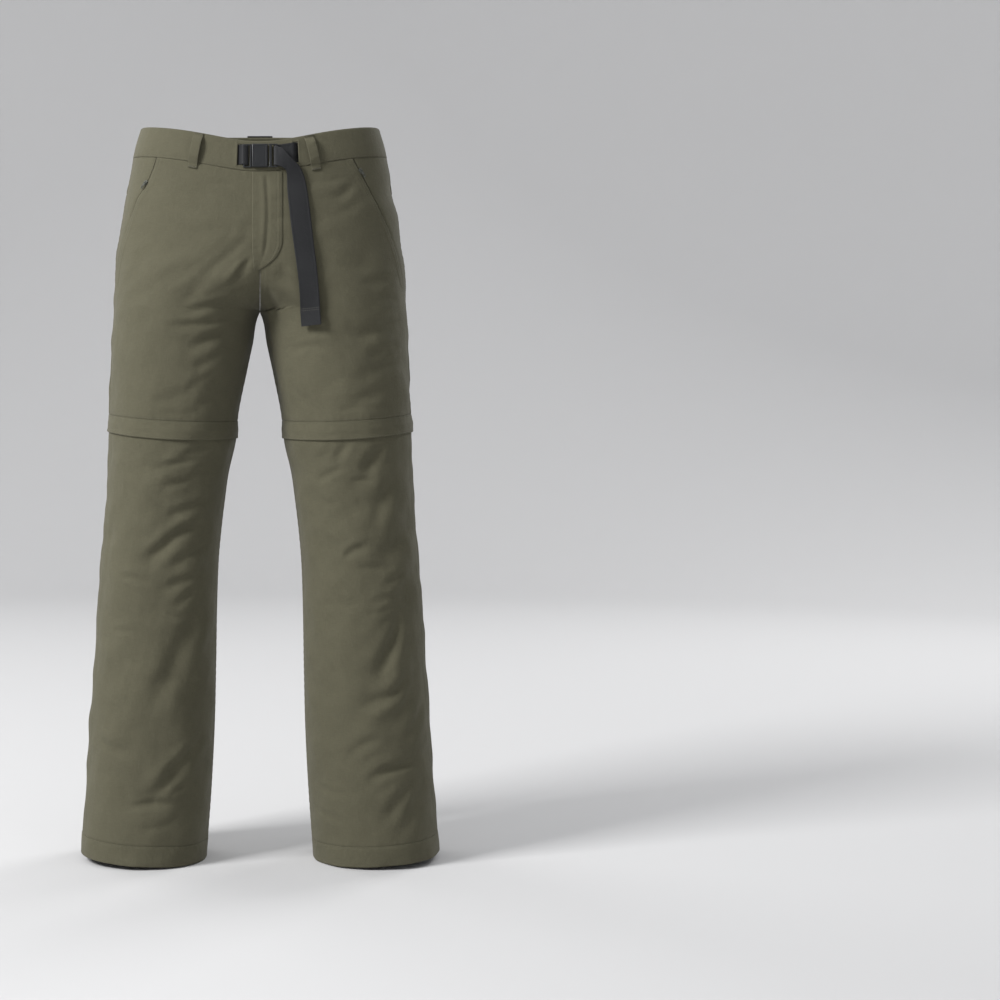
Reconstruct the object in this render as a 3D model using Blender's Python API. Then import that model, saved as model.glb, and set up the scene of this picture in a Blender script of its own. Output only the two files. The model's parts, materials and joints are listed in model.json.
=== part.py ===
"""Convertible zip-off trousers, standing open as if worn.

Units are metres and +Z is up. The origin is the centre of the waistband ring, the front looks along -Y,
and +X is the wearer's left. Every cloth piece is a wall worked out from one skin: a section at each height,
with the largest folds on it. Heights are those at the side seam. A tilt brings the waist down at the front.
"""

import math
from collections import namedtuple

import bmesh
import bpy
from mathutils import Matrix, Vector

MM = 0.001
SEAM = 0.3 * MM

# Heights at the side seam
BAND_TOP = 26.4 * MM
BAND_HEIGHT = 41.5 * MM
BAND_BOTTOM = BAND_TOP - BAND_HEIGHT
BAND_MIDDLE = (BAND_TOP + BAND_BOTTOM) / 2
YOKE_SEAM = -66 * MM
YOKE_RISE = 7 * MM
POCKET_END = -196 * MM
POCKET_CLOSE = 16 * MM
CROTCH = -232 * MM
FLAP_TOP = -377 * MM
FLAP_BOTTOM = -401.5 * MM
LOWER_TOP = -394.5 * MM
ANKLE_ZIP_TOP = -726 * MM
HEM_TOP = -967 * MM
HEM_BOTTOM = -995 * MM

# Tilts of the waist, of the knee flap and of the hem
FRONT_DROP = 28 * MM
BACK_RISE = 2 * MM
KNEE_SAG = 4.5 * MM
SPLAY_TILT = 4.7 * MM
BELT_HEIGHT = BAND_MIDDLE - FRONT_DROP

# Thicknesses and how far each layer stands off the skin
CLOTH = 1.4 * MM
BAND_CLOTH = 2.4 * MM
BAND_LIFT = 0.8 * MM
HEM_CLOTH = 2.2 * MM
HEM_LIFT = 0.6 * MM
FLAP_CLOTH = 1.2 * MM
FLAP_FLARE = 2.8 * MM
TAPE = 1.1 * MM
WEBBING = 1.4 * MM

# Belt and buckle
BELT_WIDTH = 27.5 * MM
BUCKLE_HALF_HEIGHT = 16.2 * MM
BUCKLE_RAIL = 1.5 * MM
SLOT_HALF_HEIGHT = 14.8 * MM

# Zips: the sliders, and the tabs that swing on them
SLIDER_HALF = 2.3 * MM
SLIDER_LENGTH = 7.5 * MM
SLIDER_HIGH = 2.2 * MM
TAB_HALF = 1.9 * MM
TAB_EYE = 0.9 * MM
TAB_LENGTH = 11 * MM
TAB_THICK = 1.1 * MM
POCKET_TAPE_HALF = 4 * MM
POCKET_OPENING = 1.3 * MM
ANKLE_TAPE_HALF = 6.5 * MM

Section = namedtuple("Section", "height outer centre front back power")

# Millimetres: the outer edge, the centre of the half, its depth to the front and to the back
SECTIONS = [
    Section(*row)
    for row in (
        (60, 160, 0, 94, 97, 2.35),
        (30, 167, 0, 98, 102, 2.35),
        (0, 176, 0, 101, 108, 2.35),
        (-30, 181.8, 0, 104, 114, 2.35),
        (-60, 186.2, 0, 107, 120, 2.35),
        (-100, 195, 0, 109, 126, 2.35),
        (-130, 199.4, 6, 110, 129, 2.3),
        (-155, 202.5, 24, 109, 130, 2.3),
        (-180, 205, 50, 108, 129, 2.25),
        (-200, 206, 74, 106, 127, 2.2),
        (-217, 206.8, 92, 104, 125, 2.15),
        (-232, 207.4, 103.5, 103, 122, 2.1),
        (-279, 210.2, 110.4, 99, 113, 2.1),
        (-321, 211.6, 116.1, 97, 108, 2.1),
        (-364, 213.7, 121.8, 94, 103, 2.1),
        (-407, 214.4, 124.6, 91, 99, 2.1),
        (-450, 215.8, 130.2, 88, 94, 2.1),
        (-492, 218, 134.2, 86, 91, 2.1),
        (-534, 220.8, 138.1, 84, 89, 2.1),
        (-577, 225, 142, 83, 88, 2.1),
        (-641, 230, 145.6, 83, 88, 2.1),
        (-726, 235, 148.8, 84, 90, 2.1),
        (-811, 241.4, 153, 85, 91, 2.1),
        (-897, 246.4, 157.7, 86, 90, 2.1),
        (-982, 252.8, 164, 87, 88, 2.1),
        (-1030, 256, 167, 87, 88, 2.1),
    )
]

Fold = namedtuple("Fold", "height angle tilt length width depth")

# The largest folds: height in millimetres, degrees round the leg, tilt of the crease in degrees,
# then half length, half width and depth in millimetres. Negative depths are troughs.
RIGHT_FOLDS = [
    Fold(*row)
    for row in (
        (-170, -130, 44, 66, 18, -4.2),
        (-230, -104, 16, 60, 14, -3.4),
        (-266, -114, 20, 50, 13, -2.8),
        (-304, -120, 22, 46, 15, 2.4),
        (-474, -118, 28, 50, 16, -3.6),
        (-520, -108, 30, 55, 17, -4.0),
        (-566, -92, 34, 60, 19, -4.6),
        (-636, -112, 42, 60, 19, -3.4),
        (-722, -118, 56, 84, 22, -4.2),
        (-860, -112, 46, 50, 18, -3.4),
        (-910, -98, 8, 50, 15, -3.8),
        (-215, 116, -14, 62, 15, -4.2),
        (-252, 100, -10, 52, 14, -3.0),
        (-306, 114, -22, 50, 16, -2.6),
        (-446, 84, 46, 60, 19, -4.6),
        (-530, 74, 60, 66, 21, -2.8),
        (-800, 64, 58, 84, 24, -4.0),
        (-905, 84, 40, 50, 17, -3.0),
    )
]
LEFT_FOLDS = [
    Fold(*row)
    for row in (
        (-180, -138, -70, 48, 15, -3.0),
        (-262, -54, 18, 52, 15, -3.0),
        (-304, -46, 24, 50, 14, -2.6),
        (-350, -68, 22, 44, 13, -2.0),
        (-444, -72, 38, 58, 17, -3.8),
        (-496, -78, 22, 48, 15, -3.0),
        (-562, -60, 40, 62, 19, -4.0),
        (-640, -58, 46, 70, 19, -3.4),
        (-702, -66, 56, 70, 20, -4.8),
        (-772, -52, 60, 64, 18, -3.2),
        (-868, -62, 16, 54, 15, -4.0),
        (-930, -58, 56, 48, 16, -2.8),
        (-215, 120, -8, 60, 15, -4.0),
        (-248, 108, 2, 50, 14, -3.0),
        (-322, 122, 18, 48, 16, -2.6),
        (-470, 128, 40, 55, 17, -4.0),
        (-532, 120, 42, 62, 18, -4.4),
        (-590, 118, 36, 52, 16, -3.0),
        (-760, 112, 78, 96, 24, -3.0),
    )
]

# Each half of the trousers: -1 is the wearer's right, on the -X side
SIDES = {"right": -1, "left": 1}
FOLDS = {-1: RIGHT_FOLDS, 1: LEFT_FOLDS}
FOLD_ARC = 95.0

Edge = namedtuple("Edge", "out height")

# The slanted pocket edges, in millimetres out from the middle and up
POCKET_EDGES = {
    -1: [
        Edge(*row)
        for row in (
            (143, -20), (144.6, -27), (156.2, -55), (168, -73),
            (173, -82), (189, -128), (198.8, -164), (203.5, -200),
        )
    ],
    1: [
        Edge(*row)
        for row in (
            (127, -20), (130.2, -28), (141.8, -48), (153.5, -69),
            (166.6, -94), (181.2, -124), (192.7, -160), (201, -200),
        )
    ],
}

SEAM_ANGLE_HIP = -4.0
SEAM_ANGLE_LEG = -14.0

# The ankle zip's line on the wearer's right leg: height in millimetres and degrees behind the side
ANKLE_LINE = [Edge(*row) for row in ((30, -700), (30, -726), (37, -811), (39.5, -900), (41, -1010))]

# Rows of the panels, at the side seam, in millimetres
FRONT_ROWS = (-48, -78, -108, -134, -158, -178, -196, -212, -224, -232, -250, -276, -310, -345)
POCKET_ROWS = (-45, -75, -105, -135, -162, -182, -196, -207.5)
BACK_ROWS = (-92, -118, -142, -164, -184, -202, -216, -226, -232, -252, -280, -312, -345)
LOWER_ROWS = (
    -422, -450, -477, -505, -532, -560, -588, -615, -643, -670,
    -698, -726, -752, -779, -806, -832, -859, -886, -913, -940,
)

OLIVE = (0.125, 0.118, 0.072)
NAVY = (0.022, 0.024, 0.032)
BLACK = (0.012, 0.012, 0.014)
GUNMETAL = (0.10, 0.105, 0.09)


def clear_scene():
    for obj in list(bpy.data.objects):
        bpy.data.objects.remove(obj, do_unlink=True)


def look(name, colour, roughness, metallic=0.0):
    material = bpy.data.materials.new(name)
    material.use_nodes = True
    shader = material.node_tree.nodes["Principled BSDF"]
    shader.inputs["Base Color"].default_value = (*colour, 1.0)
    shader.inputs["Roughness"].default_value = roughness
    shader.inputs["Metallic"].default_value = metallic
    material.diffuse_color = (*colour, 1.0)
    return material


def through(rows, at, key, value):
    """A smooth curve through a column of a table, read at one place."""
    rows = sorted(rows, key=key)
    keys = [key(row) for row in rows]
    values = [value(row) for row in rows]
    if at <= keys[0]:
        return values[0]
    if at >= keys[-1]:
        return values[-1]
    i = max(k for k in range(len(keys) - 1) if keys[k] <= at)
    step = keys[i + 1] - keys[i]

    def slope(k):
        low, high = max(k - 1, 0), min(k + 1, len(keys) - 1)
        return (values[high] - values[low]) / (keys[high] - keys[low])

    t = (at - keys[i]) / step
    return (
        values[i] * (1 + 2 * t) * (1 - t) ** 2
        + slope(i) * step * t * (1 - t) ** 2
        + values[i + 1] * t * t * (3 - 2 * t)
        + slope(i + 1) * step * t * t * (t - 1)
    )


def ease(value, start, end):
    """0 at start, 1 at end, and a soft step between."""
    t = min(max((value - start) / (end - start), 0.0), 1.0)
    return t * t * (3 - 2 * t)


KNOWN_SECTIONS = {}


def section(height):
    """The section's sizes in metres at one height of the side seam."""
    place = round(height / MM, 3)
    if place not in KNOWN_SECTIONS:
        sizes = [
            through(SECTIONS, place, lambda row: row.height, lambda row, c=c: row[c])
            for c in range(1, 5)
        ]
        power = through(SECTIONS, place, lambda row: row.height, lambda row: row.power)
        outer, centre, front, back = (size * MM for size in sizes)
        KNOWN_SECTIONS[place] = (outer, max(centre, 0.0), front, back, power)
    return KNOWN_SECTIONS[place]


def level(height, angle):
    """How high the skin really is at an angle, for a height given at the side seam."""
    turn = math.radians(angle)
    facing = math.sin(turn) ** 2
    waist = -FRONT_DROP if angle < 0 else BACK_RISE
    tilt = waist * facing * ease(height, -150 * MM, -25 * MM)
    tilt -= SPLAY_TILT * (1 - math.cos(turn)) * ease(-height, 250 * MM, 380 * MM)
    tilt -= KNEE_SAG * facing * math.exp(-(((height - FLAP_BOTTOM) / (60 * MM)) ** 2))
    return height + tilt


def plain_skin(height, angle):
    """A point of the unfolded skin on the +X half."""
    outer, centre, front, back, power = section(height)
    turn = math.radians(angle)
    across, along = math.cos(turn), math.sin(turn)
    depth = front if along < 0 else back
    wide = outer - centre
    reach = ((abs(across) / wide) ** power + (abs(along) / depth) ** power) ** (-1 / power)
    return Vector((centre + reach * across, reach * along, level(height, angle)))


def outward(height, angle):
    across = plain_skin(height, angle + 0.5) - plain_skin(height, angle - 0.5)
    up = plain_skin(height + MM, angle) - plain_skin(height - MM, angle)
    return across.cross(up).normalized()


def folding(side, height, angle):
    """How far the folds move the skin out."""
    moved = 0.0
    for fold in FOLDS[side]:
        along = FOLD_ARC * math.radians(angle - fold.angle)
        up = height / MM - fold.height
        turn = math.radians(fold.tilt)
        length = (along * math.cos(turn) + up * math.sin(turn)) / fold.length
        width = (up * math.cos(turn) - along * math.sin(turn)) / fold.width
        moved += fold.depth * MM * math.exp(-length * length - width * width)
    calm = ease(height, -60 * MM, -110 * MM)
    calm *= 1 - ease(-height, 350 * MM, 376 * MM) * ease(height, -440 * MM, -404 * MM)
    calm *= 1 - ease(-height, 940 * MM, 966 * MM)
    rim = abs(abs(angle) - cut_angle(height, 1)) if height > CROTCH else 60.0
    return moved * calm * ease(rim, 0.0, 25.0)


def skin(side, height, angle, lift=0.0):
    """A point on the folded skin of one half, or above it by the lift."""
    point = plain_skin(height, angle) + outward(height, angle) * (folding(side, height, angle) + lift)
    return Vector((side * point.x, point.y, point.z))


def cut_angle(height, back):
    """The angle of the rise seam above the crotch, and of the inseam below it."""
    outer, centre, front_depth, back_depth, power = section(height)
    wide = outer - centre
    if height <= CROTCH or centre >= wide:
        angle = 180.0
    else:
        depth = (back_depth if back else front_depth) * (1 - (centre / wide) ** power) ** (1 / power)
        angle = math.degrees(math.atan2(depth, -centre))
    return angle if back else -angle


def spot(out, height, back):
    """The seam height and the angle of the point that is this far from the middle and this high."""
    level_height, angle = height, 90.0
    for _ in range(6):
        outer, centre, front_depth, back_depth, power = section(level_height)
        wide = outer - centre
        share = min(abs(out - centre) / wide, 1.0)
        depth = (back_depth if back else front_depth) * (1 - share**power) ** (1 / power)
        angle = math.degrees(math.atan2(depth if back else -depth, out - centre))
        level_height += height - level(level_height, angle)
    return level_height, angle


def on_front(x, z, lift):
    height, angle = spot(abs(x), z, False)
    return skin(1 if x >= 0 else -1, height, angle, lift)


def on_back(x, z, lift):
    height, angle = spot(abs(x), z, True)
    return skin(1 if x >= 0 else -1, height, angle, lift)


def degrees_for(distance, height, angle):
    """The turn that moves a point this far along the section."""
    arc = (plain_skin(height, angle + 0.5) - plain_skin(height, angle - 0.5)).length
    return distance / arc


def side_seam(height):
    share = ease(-height, 200 * MM, 390 * MM)
    return SEAM_ANGLE_HIP + (SEAM_ANGLE_LEG - SEAM_ANGLE_HIP) * share


def pocket_angle(side, height):
    """The angle of the slanted pocket edge."""
    angle = -30.0
    for _ in range(4):
        high = level(height, angle) / MM
        out = through(POCKET_EDGES[side], high, lambda row: row.height, lambda row: row.out) * MM
        angle = spot(out, level(height, angle), False)[1]
    return min(angle, side_seam(height))


def front_edge(side, height):
    """The front panel's outer edge: the slanted pocket, and below its end the side seam."""
    closing = min(max((POCKET_END - height) / POCKET_CLOSE, 0.0), 1.0)
    return pocket_angle(side, height) * (1 - closing) + side_seam(height) * closing


def ankle_angle(height):
    return through(ANKLE_LINE, height / MM, lambda row: row.height, lambda row: row.out)


def keep_object(name, mesh, material, sharp=40.0):
    mesh.materials.append(material)
    mesh.shade_smooth()
    mesh.set_sharp_from_angle(angle=math.radians(sharp))
    obj = bpy.data.objects.new(name, mesh)
    bpy.context.scene.collection.objects.link(obj)
    return obj


def wall(name, material, rows, columns, place, outer, thickness, ring=False, keep=None):
    """A sheet with an outer and an inner face from a grid of places, closed along its edges.

    place(i, j, lift) gives a point, and keep(i, j) says whether a cell of the grid is cloth."""
    bm = bmesh.new()
    faces = []
    for lift in (outer, outer - thickness):
        faces.append([[bm.verts.new(place(i, j, lift)) for j in range(columns)] for i in range(rows)])
    outside, inside = faces
    turns = columns if ring else columns - 1
    cells = {(i, j) for i in range(rows - 1) for j in range(turns) if keep is None or keep(i, j)}
    for i, j in cells:
        k = (j + 1) % columns
        corners = [(i, j), (i + 1, j), (i + 1, k), (i, k)]
        before = (j - 1) % columns if ring else j - 1
        after = k if ring else j + 1
        beside = [(i, before), (i + 1, j), (i, after), (i - 1, j)]
        bm.faces.new([outside[r][c] for r, c in corners])
        bm.faces.new([inside[r][c] for r, c in reversed(corners)])
        for n, neighbour in enumerate(beside):
            if neighbour in cells:
                continue
            (r0, c0), (r1, c1) = corners[n], corners[(n + 1) % 4]
            bm.faces.new((outside[r1][c1], outside[r0][c0], inside[r0][c0], inside[r1][c1]))
    bmesh.ops.delete(bm, geom=[v for v in bm.verts if not v.link_faces], context="VERTS")
    if bm.calc_volume(signed=True) < 0:
        bmesh.ops.reverse_faces(bm, faces=bm.faces[:])
    mesh = bpy.data.meshes.new(name)
    bm.to_mesh(mesh)
    bm.free()
    return keep_object(name, mesh, material)


def panel(name, side, heights, angles, material, outer=0.0, thickness=CLOTH, keep=None):
    """A cloth panel on one half.

    angles(height) lists its columns, and a row of heights may be a function of the angle."""

    def place(i, j, lift):
        height = heights[i]
        if callable(height):
            height = height(angles(height(90.0))[j])
        point = skin(side, height, angles(height)[j], lift)
        return Vector((side * max(side * point.x, SEAM / 2), point.y, point.z))

    columns = len(angles(CROTCH))
    return wall(name, material, len(heights), columns, place, outer, thickness, keep=keep)


def spread(start, end, count):
    return [start + (end - start) * n / (count - 1) for n in range(count)]


def between_seams(height, start, end, count):
    """Columns from one seam to the next, each end drawn back by half the seam's gap."""
    turn = 1 if end > start else -1
    first = start + turn * degrees_for(SEAM / 2, height, start)
    last = end - turn * degrees_for(SEAM / 2, height, end)
    return spread(first, last, count)


def yoke_height(angle):
    return YOKE_SEAM + YOKE_RISE * math.sin(math.radians(angle)) ** 2


def build_upper_panels(olive):
    top = BAND_BOTTOM - SEAM
    bottom = FLAP_TOP + SEAM
    for word, side in SIDES.items():
        front = [top, *(row * MM for row in FRONT_ROWS), bottom]
        panel(
            f"front_{word}", side, front,
            lambda h, s=side: between_seams(h, front_edge(s, h), cut_angle(h, False), 12),
            olive,
        )
        back = [lambda a: yoke_height(a) - SEAM / 2, *(row * MM for row in BACK_ROWS), bottom]
        panel(
            f"back_{word}", side, back,
            lambda h: between_seams(h, side_seam(h), cut_angle(h, True), 12),
            olive,
        )
        yoke = [top, lambda a: (top + yoke_height(a)) / 2, lambda a: yoke_height(a) + SEAM / 2]
        panel(
            f"yoke_{word}", side, yoke,
            lambda h: between_seams(h, side_seam(h), cut_angle(h, True), 12),
            olive,
        )


def build_pockets(olive, tape):
    tape_lift = -CLOTH - 0.9 * MM
    for word, side in SIDES.items():
        rows = [BAND_BOTTOM - SEAM, *(row * MM for row in POCKET_ROWS)]

        def facing_columns(h, s=side):
            start = front_edge(s, h) + degrees_for(POCKET_OPENING, h, pocket_angle(s, h))
            return between_seams(h, start, side_seam(h), 5)

        panel(f"pocket_facing_{word}", side, rows, facing_columns, olive)

        def tape_columns(h, s=side):
            middle = pocket_angle(s, h) + degrees_for(POCKET_OPENING / 2, h, pocket_angle(s, h))
            half = degrees_for(POCKET_TAPE_HALF, h, middle)
            return spread(middle - half, middle + half, 3)

        panel(f"pocket_zip_{word}", side, rows[:-3], tape_columns, tape, outer=tape_lift, thickness=TAPE)


def slit_half(height):
    """Half the width of the ankle zip's slit, which gapes towards the hem."""
    return (0.9 + 2.1 * ease(-height, 760 * MM, 990 * MM)) * MM


def build_lower_legs(olive):
    for word, side in SIDES.items():
        heights = [LOWER_TOP, *(row * MM for row in LOWER_ROWS), HEM_TOP + SEAM]
        panel(
            f"lower_front_{word}", side, heights,
            lambda h: between_seams(h, side_seam(h), -180.0, 13),
            olive,
        )
        if word == "left":
            panel(
                "lower_back_left", side, heights,
                lambda h: between_seams(h, side_seam(h), 180.0, 14),
                olive,
            )
            continue

        def slit_columns(h):
            half = degrees_for(slit_half(h), h, ankle_angle(h))
            near = between_seams(h, side_seam(h), ankle_angle(h) - half, 4)
            far = between_seams(h, ankle_angle(h) + half, 180.0, 10)
            return near + far

        panel(
            "lower_back_right", side, heights, slit_columns, olive,
            keep=lambda i, j: j != 3 or heights[i] > ANKLE_ZIP_TOP + MM,
        )


def ring(name, side, heights, lifts, count, thickness, material, start=-180.0, end=180.0):
    """A band of cloth round one leg, closed or with a gap between its start and its end."""
    closed = end - start >= 360.0
    angles = [start + (end - start) * n / (count if closed else count - 1) for n in range(count)]

    def place(i, j, lift):
        return skin(side, heights[i], angles[j], lifts[i] + lift)

    return wall(name, material, len(heights), count, place, 0.0, thickness, ring=closed)


def build_knees(olive, tape):
    for word, side in SIDES.items():
        middle = (FLAP_TOP + FLAP_BOTTOM) / 2
        ring(
            f"knee_flap_{word}", side,
            [FLAP_TOP, middle, FLAP_BOTTOM],
            [0.4 * MM, 1.7 * MM, FLAP_FLARE],
            32, FLAP_CLOTH, olive,
        )
        ring(
            f"knee_zip_{word}", side,
            [FLAP_TOP - 5 * MM, LOWER_TOP + SEAM],
            [-0.9 * MM, -0.3 * MM],
            32, TAPE, tape,
        )


def build_hems(olive):
    for word, side in SIDES.items():
        start, end = -180.0, 180.0
        if word == "right":
            line = ankle_angle(HEM_BOTTOM)
            half = degrees_for(slit_half(HEM_BOTTOM), HEM_BOTTOM, line)
            start, end = line + half - 360.0, line - half
        ring(
            f"hem_{word}", side,
            [HEM_TOP, (HEM_TOP + HEM_BOTTOM) / 2, HEM_BOTTOM],
            [HEM_LIFT, HEM_LIFT, HEM_LIFT],
            32, HEM_CLOTH, olive, start, end,
        )


def build_waistband(olive):
    """One band all round, with a slot each side of the buckle where the belt comes out from inside."""
    slot_top, slot_bottom = BAND_MIDDLE + SLOT_HALF_HEIGHT, BAND_MIDDLE - SLOT_HALF_HEIGHT
    rows = [BAND_TOP, slot_top, BAND_MIDDLE, slot_bottom, BAND_BOTTOM]
    sides = (-48.0, -36.0, -24.0, -12.0, 0.0, 12.0, 24.0, 36.0, 48.0, 60.0, 70.0, 80.0)
    left_lines = (22, 45.8, 52.8, 72, 95)
    right_lines = (24.4, 31, 50, 72, 95)
    spots = [(1, -90.0)]
    spots += [(1, spot(line * MM, BELT_HEIGHT, False)[1]) for line in left_lines]
    spots += [(1, angle) for angle in sides]
    spots += [(1, 90.0)]
    spots += [(-1, angle) for angle in reversed(sides)]
    spots += [(-1, spot(line * MM, BELT_HEIGHT, False)[1]) for line in reversed(right_lines)]
    left_slot = left_lines.index(45.8) + 1
    right_slot = len(spots) - 1 - right_lines.index(24.4) - 1

    def place(i, j, lift):
        side, angle = spots[j]
        return skin(side, rows[i], angle, lift)

    wall(
        "waistband", olive, len(rows), len(spots), place, BAND_LIFT, BAND_CLOTH, ring=True,
        keep=lambda i, j: i not in (1, 2) or j not in (left_slot, right_slot),
    )


def build_fly(olive):
    """The fly's top layer, its lower corner cut in a curve."""
    Row = namedtuple("Row", "height left right")
    rows = [
        Row(*row)
        for row in (
            (-43.8, -11, 30.5), (-75, -11, 30.5), (-107, -11, 30.5), (-139, -11, 30.5),
            (-149, -11, 28.4), (-159, -10.5, 23.5), (-168, -9.5, 15.2), (-175.5, -8.5, 4.5), (-179, -8, -3),
        )
    ]

    def place(i, j, lift):
        row = rows[i]
        return on_front((row.left + (row.right - row.left) * j / 4) * MM, row.height * MM, lift)

    wall("fly", olive, len(rows), 5, place, SEAM + 1.2 * MM, 1.2 * MM)


def build_back_welts(olive):
    """A folded strip below the yoke seam on each side, the back pocket's opening."""
    welt = 12.5 * MM
    for word, side in SIDES.items():
        start = spot(59 * MM, -60 * MM, True)[1]
        angles = spread(start, 6.0, 14)

        def place(i, j, lift, angles=angles, side=side):
            height = yoke_height(angles[j]) - SEAM - welt * i / 2
            return skin(side, height, angles[j], lift)

        wall(f"back_welt_{word}", olive, 3, len(angles), place, 1.7 * MM, 1.1 * MM)


Stop = namedtuple("Stop", "down lift")

# A belt loop's path down from the band's top: millimetres down, and the lift of its outer face
LOOP_PATH = [
    Stop(*row)
    for row in (
        (1, 2.6), (5, 2.7), (8.5, 5.6), (14, 7.5), (24, 7.8), (34, 7.0), (40.5, 4.6), (44.5, 2.4), (50, 1.8),
    )
]


def build_belt_loops(olive):
    """Six loops, each a folded strip stitched down at its ends and standing off the band between."""
    half = 6.5 * MM
    Loop = namedtuple("Loop", "name back top bottom")
    loops = (
        Loop("belt_loop_front_right", False, -86, -91.5),
        Loop("belt_loop_front_left", False, 68, 76),
        Loop("belt_loop_side_right", True, -155, -157),
        Loop("belt_loop_side_left", True, 155, 157),
        Loop("belt_loop_back_right", True, -28, -28),
        Loop("belt_loop_back_left", True, 28, 28),
    )
    for loop in loops:
        side = 1 if loop.top > 0 else -1

        def place(i, j, lift, loop=loop, side=side):
            stop = LOOP_PATH[i]
            out = abs(loop.top + (loop.bottom - loop.top) * stop.down / 50) * MM
            angle = spot(out, BELT_HEIGHT, loop.back)[1]
            height = BAND_TOP - stop.down * MM
            turn = degrees_for(half * (j - 1), height, angle)
            return skin(side, height, angle + turn, stop.lift * MM + lift)

        wall(loop.name, olive, len(LOOP_PATH), 3, place, 0.0, 1.3 * MM)


def build_back_patch(navy):
    """The webbing that shows at the centre back, between the two loops."""
    half = 18.4 * MM
    top, bottom = BAND_TOP + BACK_RISE + 2 * MM, BAND_TOP + BACK_RISE - 39.5 * MM

    def place(i, j, lift):
        return on_back(half * (j - 2) / 2, top + (bottom - top) * i / 3, lift)

    wall("belt_back_patch", navy, 4, 5, place, BAND_LIFT + SEAM + WEBBING, WEBBING)


Station = namedtuple("Station", "low_x low_z low_lift high_x high_z high_lift")


def ribbon(name, material, stations, steps):
    """Flat webbing through stations, each with a point on its lower or left edge and one on the other edge."""
    count = len(stations)
    places = [n / steps for n in range((count - 1) * steps + 1)]
    table = list(enumerate(stations))

    def read(at, field):
        return through(table, at, lambda row: row[0], lambda row: row[1][field])

    smooth = [Station(*(read(at, field) for field in range(6))) for at in places]

    def place(i, j, lift):
        s = smooth[i]
        x = s.low_x + (s.high_x - s.low_x) * j / 2
        z = s.low_z + (s.high_z - s.low_z) * j / 2
        out = s.low_lift + (s.high_lift - s.low_lift) * j / 2
        return on_front(x * MM, z * MM, out * MM + lift)

    return wall(name, material, len(smooth), 3, place, WEBBING / 2, WEBBING)


def band_run(pairs):
    """Stations of a strap along the middle of the band, from pairs of x and lift."""
    stations = []
    for x, lift in pairs:
        angle = spot(abs(x) * MM, BELT_HEIGHT, False)[1]
        middle, half = level(BAND_MIDDLE, angle) / MM, BELT_WIDTH / 2 / MM
        stations.append(Station(x, middle - half, lift, x, middle + half, lift))
    return stations


def build_belt(navy):
    """The webbing from the right slot into the buckle, from the left slot into it, and the loose end."""
    right_run = (
        (-38, -3), (-34, -3), (-31, -3), (-27.4, 0.7), (-24.6, 3.9),
        (-22.6, 4.5), (-21.2, 4.5), (-19.6, 4.3), (-17.6, 3.6), (-15.8, 2.3),
    )
    left_run = (
        (60, -3), (56, -3), (52.8, -3), (49.3, -0.4), (46, 2.1), (42, 2.1), (34, 2.0), (26, 2.0), (18.4, 2.0),
    )
    ribbon("belt_right", navy, band_run(right_run), 1)
    ribbon("belt_left", navy, band_run(left_run), 1)
    tail = [
        Station(*row)
        for row in (
            (18.9, -36, 4.9, 18.9, -9.4, 4.9),
            (21.2, -36, 6.4, 21.2, -9.4, 6.4),
            (25.3, -37, 6.9, 25.3, -10.6, 7.2),
            (31.2, -39.4, 7.0, 30.7, -13.1, 9.0),
            (35.3, -43.1, 6.2, 37.5, -20.8, 9.6),
            (36.6, -49.2, 5.2, 45, -29, 8.8),
            (36.9, -58.8, 3.8, 53.9, -38.3, 6.8),
            (37.3, -70, 3.0, 60.7, -53.5, 4.6),
            (39.2, -89, 2.6, 65.4, -78, 3.4),
            (42.3, -117.5, 2.6, 69.2, -108.5, 3.0),
            (46.4, -147.5, 3.2, 73, -142.5, 3.8),
            (51.3, -181.7, 4.2, 77.5, -178.9, 5.4),
            (56, -217.2, 5.6, 81.6, -215.8, 7.4),
            (60.3, -254.8, 7.6, 85.6, -251.7, 10.0),
        )
    ]
    ribbon("belt_tail", navy, tail, 2)


def local_frame(point, across, out):
    """Axes x across, y down the piece and z out of the cloth."""
    out = out.normalized()
    across = (across - out * across.dot(out)).normalized()
    down = out.cross(across)
    matrix = Matrix((across, down, out)).transposed().to_4x4()
    matrix.translation = point
    return matrix


def plate(name, material, x_lines, y_lines, low, high, frame, holes=(), bevel=0.4 * MM):
    """A flat moulded piece on a grid of lines in its own frame, with some cells left out."""

    def place(i, j, lift):
        return Vector((x_lines[j], y_lines[i], lift))

    obj = wall(
        name, material, len(y_lines), len(x_lines), place, high, high - low,
        keep=lambda i, j: (i, j) not in holes,
    )
    obj.matrix_world = frame
    rounding = obj.modifiers.new("rounded edges", "BEVEL")
    rounding.width = bevel
    rounding.segments = 1
    rounding.limit_method = "ANGLE"
    return obj


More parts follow.
